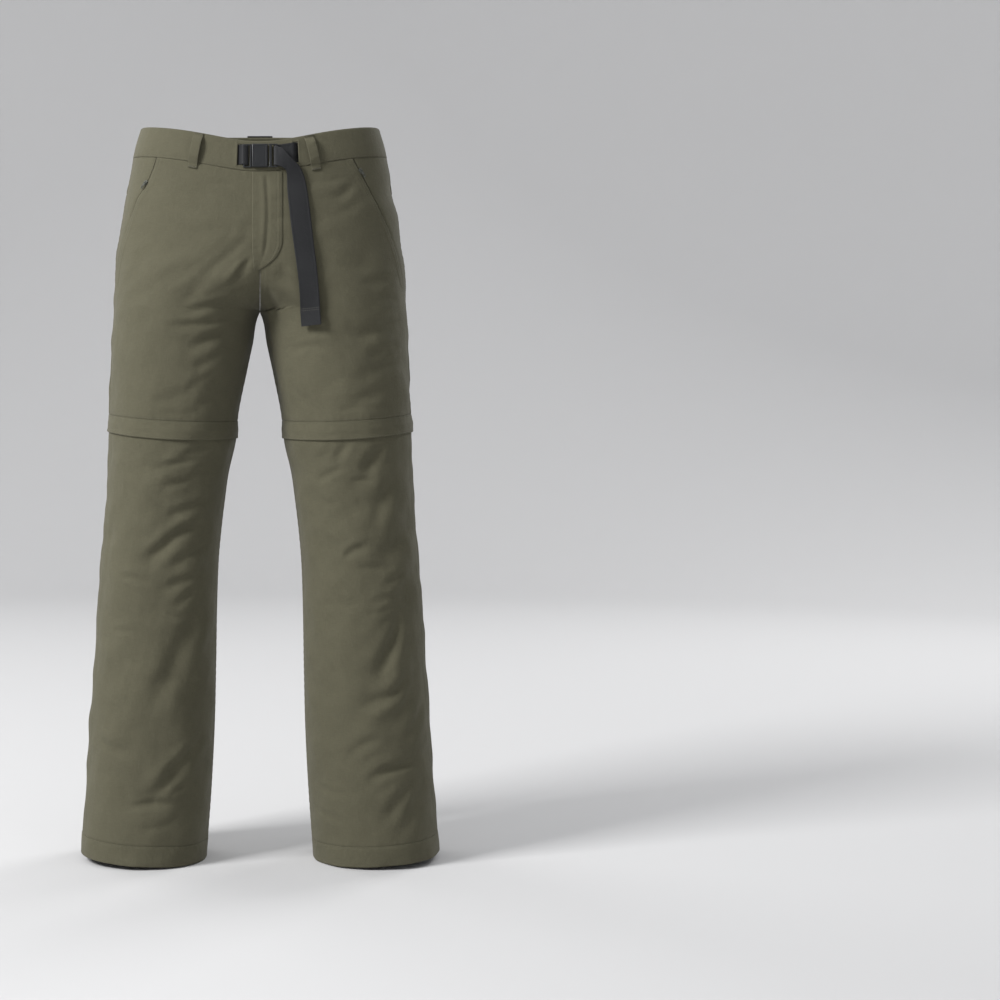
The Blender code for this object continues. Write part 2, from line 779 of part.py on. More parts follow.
def build_buckle(black):
    """The buckle lies flat on the band. Its plate hooks the ladder bars that hold the loose end."""
    centre = on_front(0.0, BELT_HEIGHT, BAND_LIFT)
    height, angle = spot(0.0, BELT_HEIGHT, False)
    frame = local_frame(centre, Vector((1, 0, 0)), outward(height, angle))
    tall, rail = BUCKLE_HALF_HEIGHT, BUCKLE_RAIL
    sign = -1 if frame.col[1].z > 0 else 1
    lines = [sign * -tall, sign * -(tall - rail), sign * (tall - rail), sign * tall]
    plate(
        "buckle_strap_bar", black, [x * MM for x in (-23.2, -19.8, -14.0, -11.6)], lines,
        0.45 * MM, 2.3 * MM, frame, holes={(1, 1)},
    )
    plate(
        "buckle_plate", black, [x * MM for x in (-11.2, 10.7)], lines,
        0.45 * MM, 5.6 * MM, frame, bevel=0.9 * MM,
    )
    plate(
        "buckle_ladder", black, [x * MM for x in (11.0, 12.8, 16.2, 21.0, 24.4)], lines,
        2.6 * MM, 4.6 * MM, frame, holes={(1, 0), (1, 2)}, bevel=0.5 * MM,
    )


def zip_frame(side, height, angle, along, lift):
    """A frame on the cloth with y running down the zip, towards the point `along`."""
    point = skin(side, height, angle, lift)
    out = outward(height, angle)
    out = Vector((side * out.x, out.y, out.z))
    down = along - point
    down = (down - out * down.dot(out)).normalized()
    across = down.cross(out)
    return local_frame(point, across, out)


def build_zip_pull(word, frame, steel):
    """A slider on the teeth, and its tab, which hinges at the slider's bridge."""
    plate(
        f"{word}_slider", steel,
        [-SLIDER_HALF, SLIDER_HALF], [-SLIDER_LENGTH / 2, SLIDER_LENGTH / 2],
        0.0, SLIDER_HIGH, frame, bevel=0.5 * MM,
    )
    hinge = frame @ Matrix.Translation((0, -1.2 * MM, SLIDER_HIGH + 0.9 * MM))
    plate(
        f"{word}_pull", steel,
        [-TAB_HALF, -TAB_EYE, TAB_EYE, TAB_HALF],
        [-0.6 * MM, TAB_LENGTH - 4.5 * MM, TAB_LENGTH - 1.2 * MM, TAB_LENGTH],
        -TAB_THICK / 2, TAB_THICK / 2, hinge, holes={(1, 1)}, bevel=0.25 * MM,
    )


def build_zip_hardware(steel):
    for word, side, height, along in (("right", -1, -52 * MM, -80 * MM), ("left", 1, -34 * MM, -62 * MM)):
        here = pocket_angle(side, height) + degrees_for(1.2 * MM, height, -30.0)
        there = pocket_angle(side, along) + degrees_for(1.2 * MM, along, -30.0)
        frame = zip_frame(side, height, here, skin(side, along, there), SEAM)
        build_zip_pull(f"pocket_{word}", frame, steel)
    height, along = -968 * MM, -992 * MM
    frame = zip_frame(-1, height, ankle_angle(height), skin(-1, along, ankle_angle(along)), HEM_LIFT + SEAM)
    build_zip_pull("ankle", frame, steel)


def build_ankle_zip(tape):
    lift = -HEM_CLOTH + HEM_LIFT - 0.8 * MM
    heights = [row * MM for row in (-715, -765, -800, -835, -868, -900, -930, -960, -992)]

    def place(i, j, out):
        angle = ankle_angle(heights[i])
        turn = degrees_for(ANKLE_TAPE_HALF * (j - 1), heights[i], angle)
        return skin(-1, heights[i], angle + turn, out)

    wall("ankle_zip", tape, len(heights), 3, place, lift, TAPE)


def main():
    clear_scene()
    olive = look("olive_canvas", OLIVE, 0.9)
    tape = look("zip_tape", tuple(0.6 * c for c in OLIVE), 0.9)
    navy = look("belt_webbing", NAVY, 0.8)
    black = look("buckle_plastic", BLACK, 0.45)
    steel = look("zip_metal", GUNMETAL, 0.35, 0.9)
    build_upper_panels(olive)
    build_pockets(olive, tape)
    build_lower_legs(olive)
    build_knees(olive, tape)
    build_hems(olive)
    build_waistband(olive)
    build_fly(olive)
    build_back_welts(olive)
    build_belt_loops(olive)
    build_back_patch(navy)
    build_belt(navy)
    build_buckle(black)
    build_zip_hardware(steel)
    build_ankle_zip(tape)


main()
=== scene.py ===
"""The looks of a pair of convertible zip-off trousers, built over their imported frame."""

import json
import math
from collections import namedtuple

import bpy
import numpy as np
from mathutils import Matrix, Vector

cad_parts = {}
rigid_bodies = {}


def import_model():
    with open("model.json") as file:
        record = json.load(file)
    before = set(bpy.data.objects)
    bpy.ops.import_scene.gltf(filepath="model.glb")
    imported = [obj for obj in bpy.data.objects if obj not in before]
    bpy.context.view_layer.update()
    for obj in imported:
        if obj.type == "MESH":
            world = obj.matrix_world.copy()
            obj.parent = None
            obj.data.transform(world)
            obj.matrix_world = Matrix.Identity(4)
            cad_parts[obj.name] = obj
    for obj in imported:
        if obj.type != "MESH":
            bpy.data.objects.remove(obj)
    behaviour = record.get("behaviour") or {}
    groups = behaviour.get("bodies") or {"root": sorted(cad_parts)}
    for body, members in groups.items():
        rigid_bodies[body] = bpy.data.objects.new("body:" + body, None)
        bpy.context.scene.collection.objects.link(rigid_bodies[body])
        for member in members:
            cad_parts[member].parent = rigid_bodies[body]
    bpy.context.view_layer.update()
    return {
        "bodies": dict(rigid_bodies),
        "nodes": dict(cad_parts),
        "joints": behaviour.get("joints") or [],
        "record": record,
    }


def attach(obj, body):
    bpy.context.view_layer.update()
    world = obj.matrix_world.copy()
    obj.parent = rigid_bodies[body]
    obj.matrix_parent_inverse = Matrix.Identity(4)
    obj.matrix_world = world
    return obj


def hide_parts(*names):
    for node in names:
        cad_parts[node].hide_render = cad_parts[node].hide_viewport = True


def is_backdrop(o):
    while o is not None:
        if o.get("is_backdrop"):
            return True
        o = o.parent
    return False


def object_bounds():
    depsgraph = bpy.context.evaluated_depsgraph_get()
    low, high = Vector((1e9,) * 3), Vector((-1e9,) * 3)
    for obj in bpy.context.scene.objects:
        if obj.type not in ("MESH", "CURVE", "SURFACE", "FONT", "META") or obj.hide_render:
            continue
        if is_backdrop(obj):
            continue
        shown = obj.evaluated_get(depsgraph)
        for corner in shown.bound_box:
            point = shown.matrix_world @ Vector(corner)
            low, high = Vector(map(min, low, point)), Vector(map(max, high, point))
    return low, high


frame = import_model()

# Studio
# A pale floor that curves up into a pale wall all round, seen from the height of the thighs.
# A large soft lamp stands high on the left, with weaker ones to the right and behind.
FLOOR = -1.0046
WALL_RADIUS = 5.2
SWEEP = 1.6

camera = bpy.data.objects.new("camera", bpy.data.cameras.new("camera"))
camera.data.lens = 72
camera.data.sensor_width = 36
camera.data.shift_x = 0.24
camera.data.shift_y = -0.112
camera.location = (0, -2.84, -0.34)
camera.rotation_euler = (math.radians(90), 0, 0)
bpy.context.scene.collection.objects.link(camera)
bpy.context.scene.camera = camera
bpy.context.scene.view_settings.view_transform = "Standard"

bpy.ops.object.select_all(action="DESELECT")
bpy.ops.mesh.primitive_circle_add(vertices=160, radius=WALL_RADIUS, location=(0, 0, 3.6))
studio = bpy.context.object
studio.name = "studio"
bpy.ops.object.mode_set(mode="EDIT")
radius, height = WALL_RADIUS, 3.6
for turn in range(0, 91, 6):
    next_radius = WALL_RADIUS - SWEEP * (1 - math.cos(math.radians(turn)))
    next_height = FLOOR + SWEEP * (1 - math.sin(math.radians(turn)))
    bpy.ops.mesh.extrude_region_move(TRANSFORM_OT_translate={"value": (0, 0, next_height - height)})
    share = next_radius / radius
    bpy.ops.transform.resize(value=(share, share, 1), center_override=(0, 0, next_height))
    radius, height = next_radius, next_height
bpy.ops.mesh.edge_face_add()
bpy.ops.object.mode_set(mode="OBJECT")
bpy.ops.object.shade_smooth()
studio.data.materials.append(bpy.data.materials.new("studio paint"))
studio.active_material.use_nodes = True
paint = studio.active_material.node_tree.nodes["Principled BSDF"]
paint.inputs["Base Color"].default_value = (0.52, 0.518, 0.52, 1)
paint.inputs["Roughness"].default_value = 0.9
paint.inputs["Specular IOR Level"].default_value = 0.1
studio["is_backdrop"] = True

Lamp = namedtuple("Lamp", "name place aim size power")
for lamp in (
    Lamp("key", (-3.0, -1.9, 2.0), (0.0, 0.0, -0.45), 1.3, 245),
    Lamp("fill", (2.9, -2.4, 0.5), (0.0, 0.0, -0.5), 2.6, 4),
    Lamp("back left", (-2.6, 2.4, 1.4), (0.0, 0.0, -0.5), 2.2, 40),
    Lamp("back right", (2.6, 2.6, 1.6), (0.0, 0.0, -0.5), 1.6, 75),
):
    light = bpy.data.lights.new(lamp.name, "AREA")
    light.size = lamp.size
    light.energy = lamp.power
    holder = bpy.data.objects.new(lamp.name, light)
    holder.location = lamp.place
    aim = Vector(lamp.aim) - Vector(lamp.place)
    holder.rotation_euler = aim.to_track_quat("-Z", "Y").to_euler()
    bpy.context.scene.collection.objects.link(holder)

world = bpy.data.worlds.new("room")
world.use_nodes = True
world.node_tree.nodes["Background"].inputs["Color"].default_value = (0.95, 0.97, 1.0, 1)
world.node_tree.nodes["Background"].inputs["Strength"].default_value = 0.68
bpy.context.scene.world = world

# Front panels
# Each front is one piece of washed olive canvas from the waistband to the knee seam, cut away at the
# slanted pocket. The cloth follows one skin: a section at each height, large folds, then the creases.
MM = 0.001
SEAM_HALF = 0.0
BAND_TOP = 26.4
BAND_BOTTOM = -15.1
BAND_MIDDLE = (BAND_TOP + BAND_BOTTOM) / 2
YOKE_SEAM = -66
YOKE_RISE = 7
POCKET_END = -196
POCKET_CLOSE = 16
CROTCH = -232
FLAP_TOP = -377
FLAP_BOTTOM = -401.5
LOWER_TOP = -394.5
ANKLE_ZIP_TOP = -726
HEM_TOP = -967
HEM_BOTTOM = -995
FRONT_DROP = 28
BACK_RISE = 2
KNEE_SAG = 4.5
SPLAY_TILT = 4.7
BELT_HEIGHT = BAND_MIDDLE - FRONT_DROP
CLOTH = 1.4

# Millimetres: height, outer edge, centre of the half, depth to the front and to the back, and the power
SECTIONS = np.array(
    [
        (60, 160, 0, 94, 97, 2.35),
        (30, 167, 0, 98, 102, 2.35),
        (0, 176, 0, 101, 108, 2.35),
        (-30, 181.8, 0, 104, 114, 2.35),
        (-60, 186.2, 0, 107, 120, 2.35),
        (-100, 195, 0, 109, 126, 2.35),
        (-130, 199.4, 6, 110, 129, 2.3),
        (-155, 202.5, 24, 109, 130, 2.3),
        (-180, 205, 50, 108, 129, 2.25),
        (-200, 206, 74, 106, 127, 2.2),
        (-217, 206.8, 92, 104, 125, 2.15),
        (-232, 207.4, 103.5, 103, 122, 2.1),
        (-279, 210.2, 110.4, 99, 113, 2.1),
        (-321, 211.6, 116.1, 97, 108, 2.1),
        (-364, 213.7, 121.8, 94, 103, 2.1),
        (-407, 214.4, 124.6, 91, 99, 2.1),
        (-450, 215.8, 130.2, 88, 94, 2.1),
        (-492, 218, 134.2, 86, 91, 2.1),
        (-534, 220.8, 138.1, 84, 89, 2.1),
        (-577, 225, 142, 83, 88, 2.1),
        (-641, 230, 145.6, 83, 88, 2.1),
        (-726, 235, 148.8, 84, 90, 2.1),
        (-811, 241.4, 153, 85, 91, 2.1),
        (-897, 246.4, 157.7, 86, 90, 2.1),
        (-982, 252.8, 164, 87, 88, 2.1),
        (-1030, 256, 167, 87, 88, 2.1),
    ],
    float,
)

Fold = namedtuple("Fold", "height angle tilt length width depth")
FOLDS = {
    -1: [
        Fold(*row)
        for row in (
            (-170, -130, 44, 66, 18, -4.2),
            (-230, -104, 16, 60, 14, -3.4),
            (-266, -114, 20, 50, 13, -2.8),
            (-304, -120, 22, 46, 15, 2.4),
            (-474, -118, 28, 50, 16, -3.6),
            (-520, -108, 30, 55, 17, -4.0),
            (-566, -92, 34, 60, 19, -4.6),
            (-636, -112, 42, 60, 19, -3.4),
            (-722, -118, 56, 84, 22, -4.2),
            (-860, -112, 46, 50, 18, -3.4),
            (-910, -98, 8, 50, 15, -3.8),
            (-215, 116, -14, 62, 15, -4.2),
            (-252, 100, -10, 52, 14, -3.0),
            (-306, 114, -22, 50, 16, -2.6),
            (-446, 84, 46, 60, 19, -4.6),
            (-530, 74, 60, 66, 21, -2.8),
            (-800, 64, 58, 84, 24, -4.0),
            (-905, 84, 40, 50, 17, -3.0),
        )
    ],
    1: [
        Fold(*row)
        for row in (
            (-180, -138, -70, 48, 15, -3.0),
            (-262, -54, 18, 52, 15, -3.0),
            (-304, -46, 24, 50, 14, -2.6),
            (-350, -68, 22, 44, 13, -2.0),
            (-444, -72, 38, 58, 17, -3.8),
            (-496, -78, 22, 48, 15, -3.0),
            (-562, -60, 40, 62, 19, -4.0),
            (-640, -58, 46, 70, 19, -3.4),
            (-702, -66, 56, 70, 20, -4.8),
            (-772, -52, 60, 64, 18, -3.2),
            (-868, -62, 16, 54, 15, -4.0),
            (-930, -58, 56, 48, 16, -2.8),
            (-215, 120, -8, 60, 15, -4.0),
            (-248, 108, 2, 50, 14, -3.0),
            (-322, 122, 18, 48, 16, -2.6),
            (-470, 128, 40, 55, 17, -4.0),
            (-532, 120, 42, 62, 18, -4.4),
            (-590, 118, 36, 52, 16, -3.0),
            (-760, 112, 78, 96, 24, -3.0),
        )
    ],
}
ARC = 95.0

# Creases, each a line of points on the front or the back of one half: millimetres out from the middle and up.
# Then come the half width, the depth, where a trough is negative, and the share that rises beside it.
Crease = namedtuple("Crease", "path width depth beside")

FRONT_CREASES = {
    -1: [
        Crease(*row)
        for row in (
            (((16, -126), (38, -154), (66, -178), (96, -214), (130, -250)), 11, -2.6, 0),
            (((11, -158), (22, -176), (33, -200)), 5, -2.2, 0.8),
            (((14, -199), (27, -208), (47, -214)), 5, -1.6, 0.5),
            (((33, -219), (71, -228), (110, -240)), 5, -2, 0.6),
            (((30, -244), (83, -252), (138, -257)), 5, -1.8, 0.7),
            (((39, -260), (72, -274), (105, -288)), 6, -2.2, 0.7),
            (((47, -290), (74, -304), (94, -318)), 6, -1.6, 0.6),
            (((62, -318), (88, -334), (105, -346)), 6, -1.2, 0.5),
            (((47, -354), (76, -362), (96, -370)), 5, -1.2, 0.5),
            (((76, -336), (124, -354), (165, -362)), 7, -0.9, 0.4),
            (((62, -370), (110, -376), (151, -373)), 4, -0.9, 0.4),
            (((82, -58), (34, -61)), 5, -0.8, 0.3),
            (((151, -137), (164, -167), (175, -199)), 9, -0.8, 0.3),
            (((34, -103), (30, -137), (27, -167)), 8, 0.9, 0),
            (((55, -416), (89, -428), (124, -442)), 6, -2.2, 0.7),
            (((76, -436), (110, -443), (154, -453)), 5, -2, 0.7),
            (((62, -453), (83, -456), (105, -469)), 4, -1.4, 0.6),
            (((88, -464), (113, -471), (140, -476)), 5, -1.8, 0.7),
            (((66, -494), (103, -508), (135, -522)), 6, -1.8, 0.6),
            (((72, -527), (110, -541), (140, -566), (169, -589)), 8, -3.6, 0.9),
            (((69, -556), (96, -571), (131, -590)), 6, -1.8, 0.6),
            (((195, -600), (173, -603), (149, -611)), 5, -1.8, 0.8),
            (((76, -593), (107, -607), (143, -621)), 6, -2, 0.6),
            (((83, -618), (105, -632), (121, -648)), 6, -1.6, 0.6),
            (((206, -677), (190, -676), (173, -678)), 4, -1.4, 0.6),
            (((76, -632), (94, -673), (113, -707), (135, -756), (157, -808)), 14, -3.2, 0.5),
            (((151, -637), (121, -656), (88, -656)), 5, -1, 0.5),
            (((227, -827), (204, -838), (173, -846)), 7, -1.6, 0.6),
            (((195, -866), (190, -886), (173, -904)), 8, -0.9, 0.3),
            (((72, -817), (99, -849), (121, -874), (140, -896), (173, -915)), 9, -3.6, 0.8),
            (((187, -919), (151, -914), (105, -912)), 5, -2.2, 0.7),
            (((96, -888), (113, -896), (129, -907)), 5, -1.8, 0.6),
            (((107, -934), (138, -945), (179, -951)), 6, -1.2, 0.5),
            (((206, -522), (212, -577), (215, -632)), 9, -0.8, 0.3),
            (((193, -714), (168, -731), (151, -756)), 8, 0.9, 0),
        )
    ],
    1: [
        Crease(*row)
        for row in (
            (((11, -195), (16, -225), (26, -263)), 6, -2, 0.8),
            (((32, -167), (33, -181), (27, -206)), 5, -1.4, 0.6),
            (((8, -219), (14, -250), (25, -290)), 5, 1.4, 0),
            (((126, -55), (118, -69), (101, -85)), 5, -1.5, 0.5),
            (((134, -77), (126, -91), (112, -104)), 5, -0.8, 0.4),
            (((63, -52), (96, -55), (126, -47)), 5, -0.9, 0.3),
            (((41, -290), (69, -282), (99, -285)), 5, -1.2, 0.6),
            (((192, -181), (164, -192), (140, -200)), 6, -1.5, 0.6),
            (((195, -214), (167, -219), (137, -233)), 7, -1.2, 0.5),
            (((197, -244), (165, -257), (124, -274)), 7, -1.8, 0.6),
            (((198, -279), (171, -288), (138, -304)), 6, -1.8, 0.6),
            (((198, -304), (171, -310), (135, -323)), 6, -1.3, 0.5),
            (((182, -340), (149, -351), (110, -362)), 7, -1.2, 0.5),
            (((124, -318), (96, -337), (72, -359)), 8, -0.9, 0.4),
            (((93, -124), (85, -159), (88, -195)), 9, -0.9, 0.4),
            (((153, -137), (145, -167), (134, -192)), 8, -0.9, 0.4),
            (((41, -329), (55, -350), (83, -368)), 7, -0.8, 0.3),
            (((96, -373), (132, -368), (187, -370)), 4, -0.8, 0.3),
            (((176, -414), (157, -436), (138, -464)), 8, -3, 0.8),
            (((124, -409), (113, -425), (103, -442)), 6, -2, 0.7),
            (((107, -409), (91, -428), (80, -442)), 5, -1, 0.5),
            (((117, -450), (96, -458), (76, -472)), 5, -1.6, 0.7),
            (((121, -469), (143, -467), (162, -468)), 4, -1.2, 0.6),
            (((187, -464), (168, -501), (149, -549)), 10, -2.4, 0.5),
            (((80, -491), (94, -500), (110, -498)), 4, -0.8, 0.5),
            (((113, -577), (129, -564), (154, -556)), 5, -2, 0.8),
            (((127, -590), (151, -588), (184, -593)), 5, -1.2, 0.5),
            (((204, -593), (184, -607), (165, -618)), 6, -2, 0.6),
            (((193, -623), (171, -632), (140, -643)), 6, -1.4, 0.5),
            (((190, -640), (168, -648), (140, -654)), 5, -1.2, 0.5),
            (((198, -648), (187, -687), (173, -717), (161, -747)), 9, -3.4, 0.7),
            (((74, -640), (110, -640), (146, -634)), 7, -0.8, 0.4),
            (((209, -731), (187, -761), (160, -772), (127, -783)), 8, -3.2, 0.8),
            (((96, -687), (102, -720), (96, -756)), 10, -0.8, 0.3),
            (((173, -822), (140, -833), (110, -863)), 7, -1.8, 0.6),
            (((226, -855), (195, -863), (168, -871), (140, -884)), 6, -3, 0.8),
            (((220, -879), (198, -901), (182, -923), (165, -954)), 9, -3, 0.6),
            (((77, -893), (102, -901), (127, -899)), 5, -1, 0.5),
            (((77, -926), (96, -934), (124, -940)), 5, -1, 0.5),
            (((231, -769), (215, -808), (195, -835)), 8, -2, 0.5),
        )
    ],
}
BACK_CREASES = {
    -1: [
        Crease(*row)
        for row in (
            (((26, -113), (10, -124), (4, -148)), 5, -1.8, 0.6),
            (((10, -148), (1, -156)), 4, -0.8, 0.4),
            (((18, -167), (1, -184)), 5, -0.9, 0.4),
            (((48, -181), (29, -195), (7, -215)), 6, -3, 0.8),
            (((15, -256), (32, -239), (53, -235), (84, -240)), 6, -2.4, 0.7),
            (((111, -219), (92, -228), (73, -243)), 6, -2.4, 0.7),
            (((48, -285), (65, -275), (87, -275), (111, -279)), 6, -2.4, 0.7),
            (((106, -281), (128, -271), (150, -277)), 6, -1.4, 0.5),
            (((114, -301), (95, -304), (73, -318)), 6, -1.8, 0.6),
            (((40, -304), (54, -299), (70, -296)), 5, -0.8, 0.4),
            (((169, -307), (142, -321), (120, -351)), 8, -2.4, 0.7),
            (((178, -290), (155, -299), (131, -299)), 6, -1, 0.4),
            (((142, -359), (120, -370), (92, -379)), 6, -1.2, 0.5),
            (((67, -260), (75, -219), (92, -187)), 9, 0.9, 0),
            (((149, -28), (127, -33), (103, -41)), 5, -1.4, 0.6),
            (((147, -44), (127, -47), (111, -52)), 4, -1, 0.5),
            (((42, -63), (26, -77), (4, -88)), 6, -0.9, 0.4),
            (((70, -376), (111, -377), (153, -373)), 4, -0.8, 0.3),
            (((172, -423), (155, -447), (133, -472), (109, -502)), 8, -3, 0.8),
            (((81, -428), (98, -442), (120, -450)), 6, -1, 0.5),
            (((186, -494), (166, -516), (150, -530)), 7, -1.4, 0.5),
            (((84, -549), (106, -566), (125, -571)), 7, -0.9, 0.4),
            (((161, -549), (172, -632), (166, -728), (172, -824)), 16, -2.2, 0.3),
            (((92, -659), (111, -687), (120, -725)), 10, -0.8, 0.3),
            (((211, -835), (178, -860), (144, -888)), 8, -2.4, 0.7),
            (((194, -879), (175, -910), (158, -951)), 8, -2.2, 0.6),
            (((98, -893), (120, -910), (147, -915)), 7, -0.9, 0.4),
        )
    ],
    1: [
        Crease(*row)
        for row in (
            (((114, -224), (95, -214), (67, -224), (34, -235)), 6, -3.2, 0.8),
            (((73, -208), (45, -203), (21, -198)), 6, -1.6, 0.4),
            (((158, -245), (141, -239), (125, -236), (105, -244)), 6, -1.8, 0.6),
            (((78, -250), (56, -252), (32, -252)), 5, -2, 0.7),
            (((125, -273), (103, -271), (78, -264)), 5, -1.8, 0.7),
            (((51, -290), (70, -295), (92, -304)), 6, -1.6, 0.6),
            (((62, -350), (81, -362), (106, -373)), 7, -1.4, 0.5),
            (((150, -290), (133, -310), (95, -321)), 9, -0.8, 0.3),
            (((95, -323), (122, -340), (158, -351)), 8, -0.8, 0.4),
            (((141, -30), (125, -39), (108, -50)), 5, -0.8, 0.4),
            (((26, -124), (40, -159), (59, -192)), 14, -1.4, 0),
            (((150, -376), (100, -379), (59, -373)), 4, -0.8, 0.3),
            (((95, -458), (117, -472), (139, -489)), 6, -1.8, 0.7),
            (((56, -442), (62, -467), (73, -494)), 6, -1.6, 0.5),
            (((74, -520), (103, -529), (125, -544), (139, -560)), 7, -3, 0.8),
            (((62, -533), (92, -557), (122, -585)), 8, -2, 0.6),
            (((103, -588), (122, -604), (139, -621)), 6, -1.4, 0.5),
            (((164, -453), (178, -475), (189, -494)), 7, -0.8, 0.4),
            (((197, -577), (178, -596), (161, -604)), 6, -0.8, 0.4),
            (((84, -632), (103, -714), (120, -811), (133, -907)), 18, -2.2, 0.3),
            (((211, -769), (191, -786), (164, -791)), 7, -0.8, 0.4),
            (((95, -866), (122, -893), (155, -907)), 8, -1.2, 0.5),
            (((205, -907), (178, -923), (144, -929)), 7, -0.8, 0.4),
        )
    ],
}
# Softer unevenness all over: wavelength, direction, phase and height of each wave
WAVES = (
    (83, 20, 0.4, 0.42), (71, 108, 2.1, 0.34), (58, 61, 4.4, 0.30), (49, 147, 1.3, 0.26),
    (41, 33, 3.0, 0.20), (33, 84, 5.2, 0.16), (27, 122, 0.9, 0.12), (21, 8, 2.7, 0.08),
)


def read(rows, at, column):
    """A smooth curve through one column of a table, read at many places."""
    rows = rows[np.argsort(rows[:, 0])]
    keys, values = rows[:, 0], rows[:, column]
    slopes = np.empty_like(values)
    slopes[1:-1] = (values[2:] - values[:-2]) / (keys[2:] - keys[:-2])
    slopes[0] = (values[1] - values[0]) / (keys[1] - keys[0])
    slopes[-1] = (values[-1] - values[-2]) / (keys[-1] - keys[-2])
    at = np.clip(at, keys[0], keys[-1])
    i = np.clip(np.searchsorted(keys, at, side="right") - 1, 0, len(keys) - 2)
    step = keys[i + 1] - keys[i]
    t = (at - keys[i]) / step
    return (
        values[i] * (1 + 2 * t) * (1 - t) ** 2
        + slopes[i] * step * t * (1 - t) ** 2
        + values[i + 1] * t * t * (3 - 2 * t)
        + slopes[i + 1] * step * t * t * (t - 1)
    )


def ease(value, start, end):
    """0 at start, 1 at end, and a soft step between."""
    t = np.clip((value - start) / (end - start), 0.0, 1.0)
    return t * t * (3 - 2 * t)


def section(height):
    outer, centre, front, back, power = (read(SECTIONS, height, column) for column in range(1, 6))
    return outer, np.maximum(centre, 0.0), front, back, power


def level(height, angle):
    turn = np.radians(angle)
    facing = np.sin(turn) ** 2
    tilt = np.where(angle < 0, -FRONT_DROP, BACK_RISE) * facing * ease(height, -150, -25)
    tilt = tilt - SPLAY_TILT * (1 - np.cos(turn)) * ease(-height, 250, 380)
    return height + tilt - KNEE_SAG * facing * np.exp(-(((height - FLAP_BOTTOM) / 60) ** 2))


def plain(height, angle):
    """Points of the unfolded skin of the +X half, in millimetres."""
    outer, centre, front, back, power = section(height)
    across, along = np.cos(np.radians(angle)), np.sin(np.radians(angle))
    depth = np.where(along < 0, front, back)
    reach = ((np.abs(across) / (outer - centre)) ** power + (np.abs(along) / depth) ** power) ** (-1 / power)
    return np.stack([centre + reach * across, reach * along, level(height, angle)], -1)


def outward(height, angle):
    across = plain(height, angle + 0.5) - plain(height, angle - 0.5)
    up = plain(height + 1, angle) - plain(height - 1, angle)
    normal = np.cross(across, up)
    return normal / np.linalg.norm(normal, axis=-1, keepdims=True)


def cut_angle(height, back):
    """The angle of the rise seam above the crotch, and of the inseam below it."""
    outer, centre, front, rear, power = section(height)
    wide = outer - centre
    share = np.minimum(centre / wide, 1.0)
    depth = (rear if back else front) * (1 - share**power) ** (1 / power)
    angle = np.where((height <= CROTCH) | (centre >= wide), 180.0, np.degrees(np.arctan2(depth, -centre)))
    return angle if back else -angle


def spot(out, high, back):
    """The seam height and angle of the points this far from the middle and this high."""
    out, high = np.asarray(out, float), np.asarray(high, float)
    height = high.copy()
    for _ in range(6):
        outer, centre, front, rear, power = section(height)
        share = np.minimum(np.abs(out - centre) / (outer - centre), 1.0)
        depth = (rear if back else front) * (1 - share**power) ** (1 / power)
        angle = np.degrees(np.arctan2(depth if back else -depth, out - centre))
        height = height + high - level(height, angle)
    return height, angle


def folding(side, height, angle):
    moved = np.zeros_like(height)
    for fold in FOLDS[side]:
        along = ARC * np.radians(angle - fold.angle)
        up = height - fold.height
        turn = math.radians(fold.tilt)
        length = (along * math.cos(turn) + up * math.sin(turn)) / fold.length
        width = (up * math.cos(turn) - along * math.sin(turn)) / fold.width
        moved += fold.depth * np.exp(-length * length - width * width)
    moved *= ease(height, -60, -110)
    moved *= 1 - ease(-height, 350, 376) * ease(height, -440, -404)
    moved *= 1 - ease(-height, 940, 966)
    rim = np.where(height > CROTCH, np.abs(np.abs(angle) - cut_angle(height, True)), 60.0)
    return moved * ease(rim, 0.0, 25.0)


Line = namedtuple("Line", "points tangents step middle reach width depth beside")


def crease_line(crease, back):
    """A crease's path as close points, by arc round the half and height."""
    out, high = np.array(crease.path, float).T
    height, angle = spot(out, high, back)
    stops = np.c_[np.arange(len(out)), ARC * np.radians(angle), height]
    at = np.linspace(0, len(out) - 1, 28)
    points = np.c_[read(stops, at, 1), read(stops, at, 2)]
    tangents = np.gradient(points, axis=0)
    lengths = np.linalg.norm(tangents, axis=1)
    tangents /= lengths[:, None]
    low, high = points.min(0), points.max(0)
    reach = (high - low) / 2 + 5 * crease.width
    return Line(points, tangents, lengths.mean(), (low + high) / 2, reach, crease.width, crease.depth, crease.beside)


CREASES = {
    side: [crease_line(c, False) for c in FRONT_CREASES[side]] + [crease_line(c, True) for c in BACK_CREASES[side]]
    for side in (-1, 1)
}


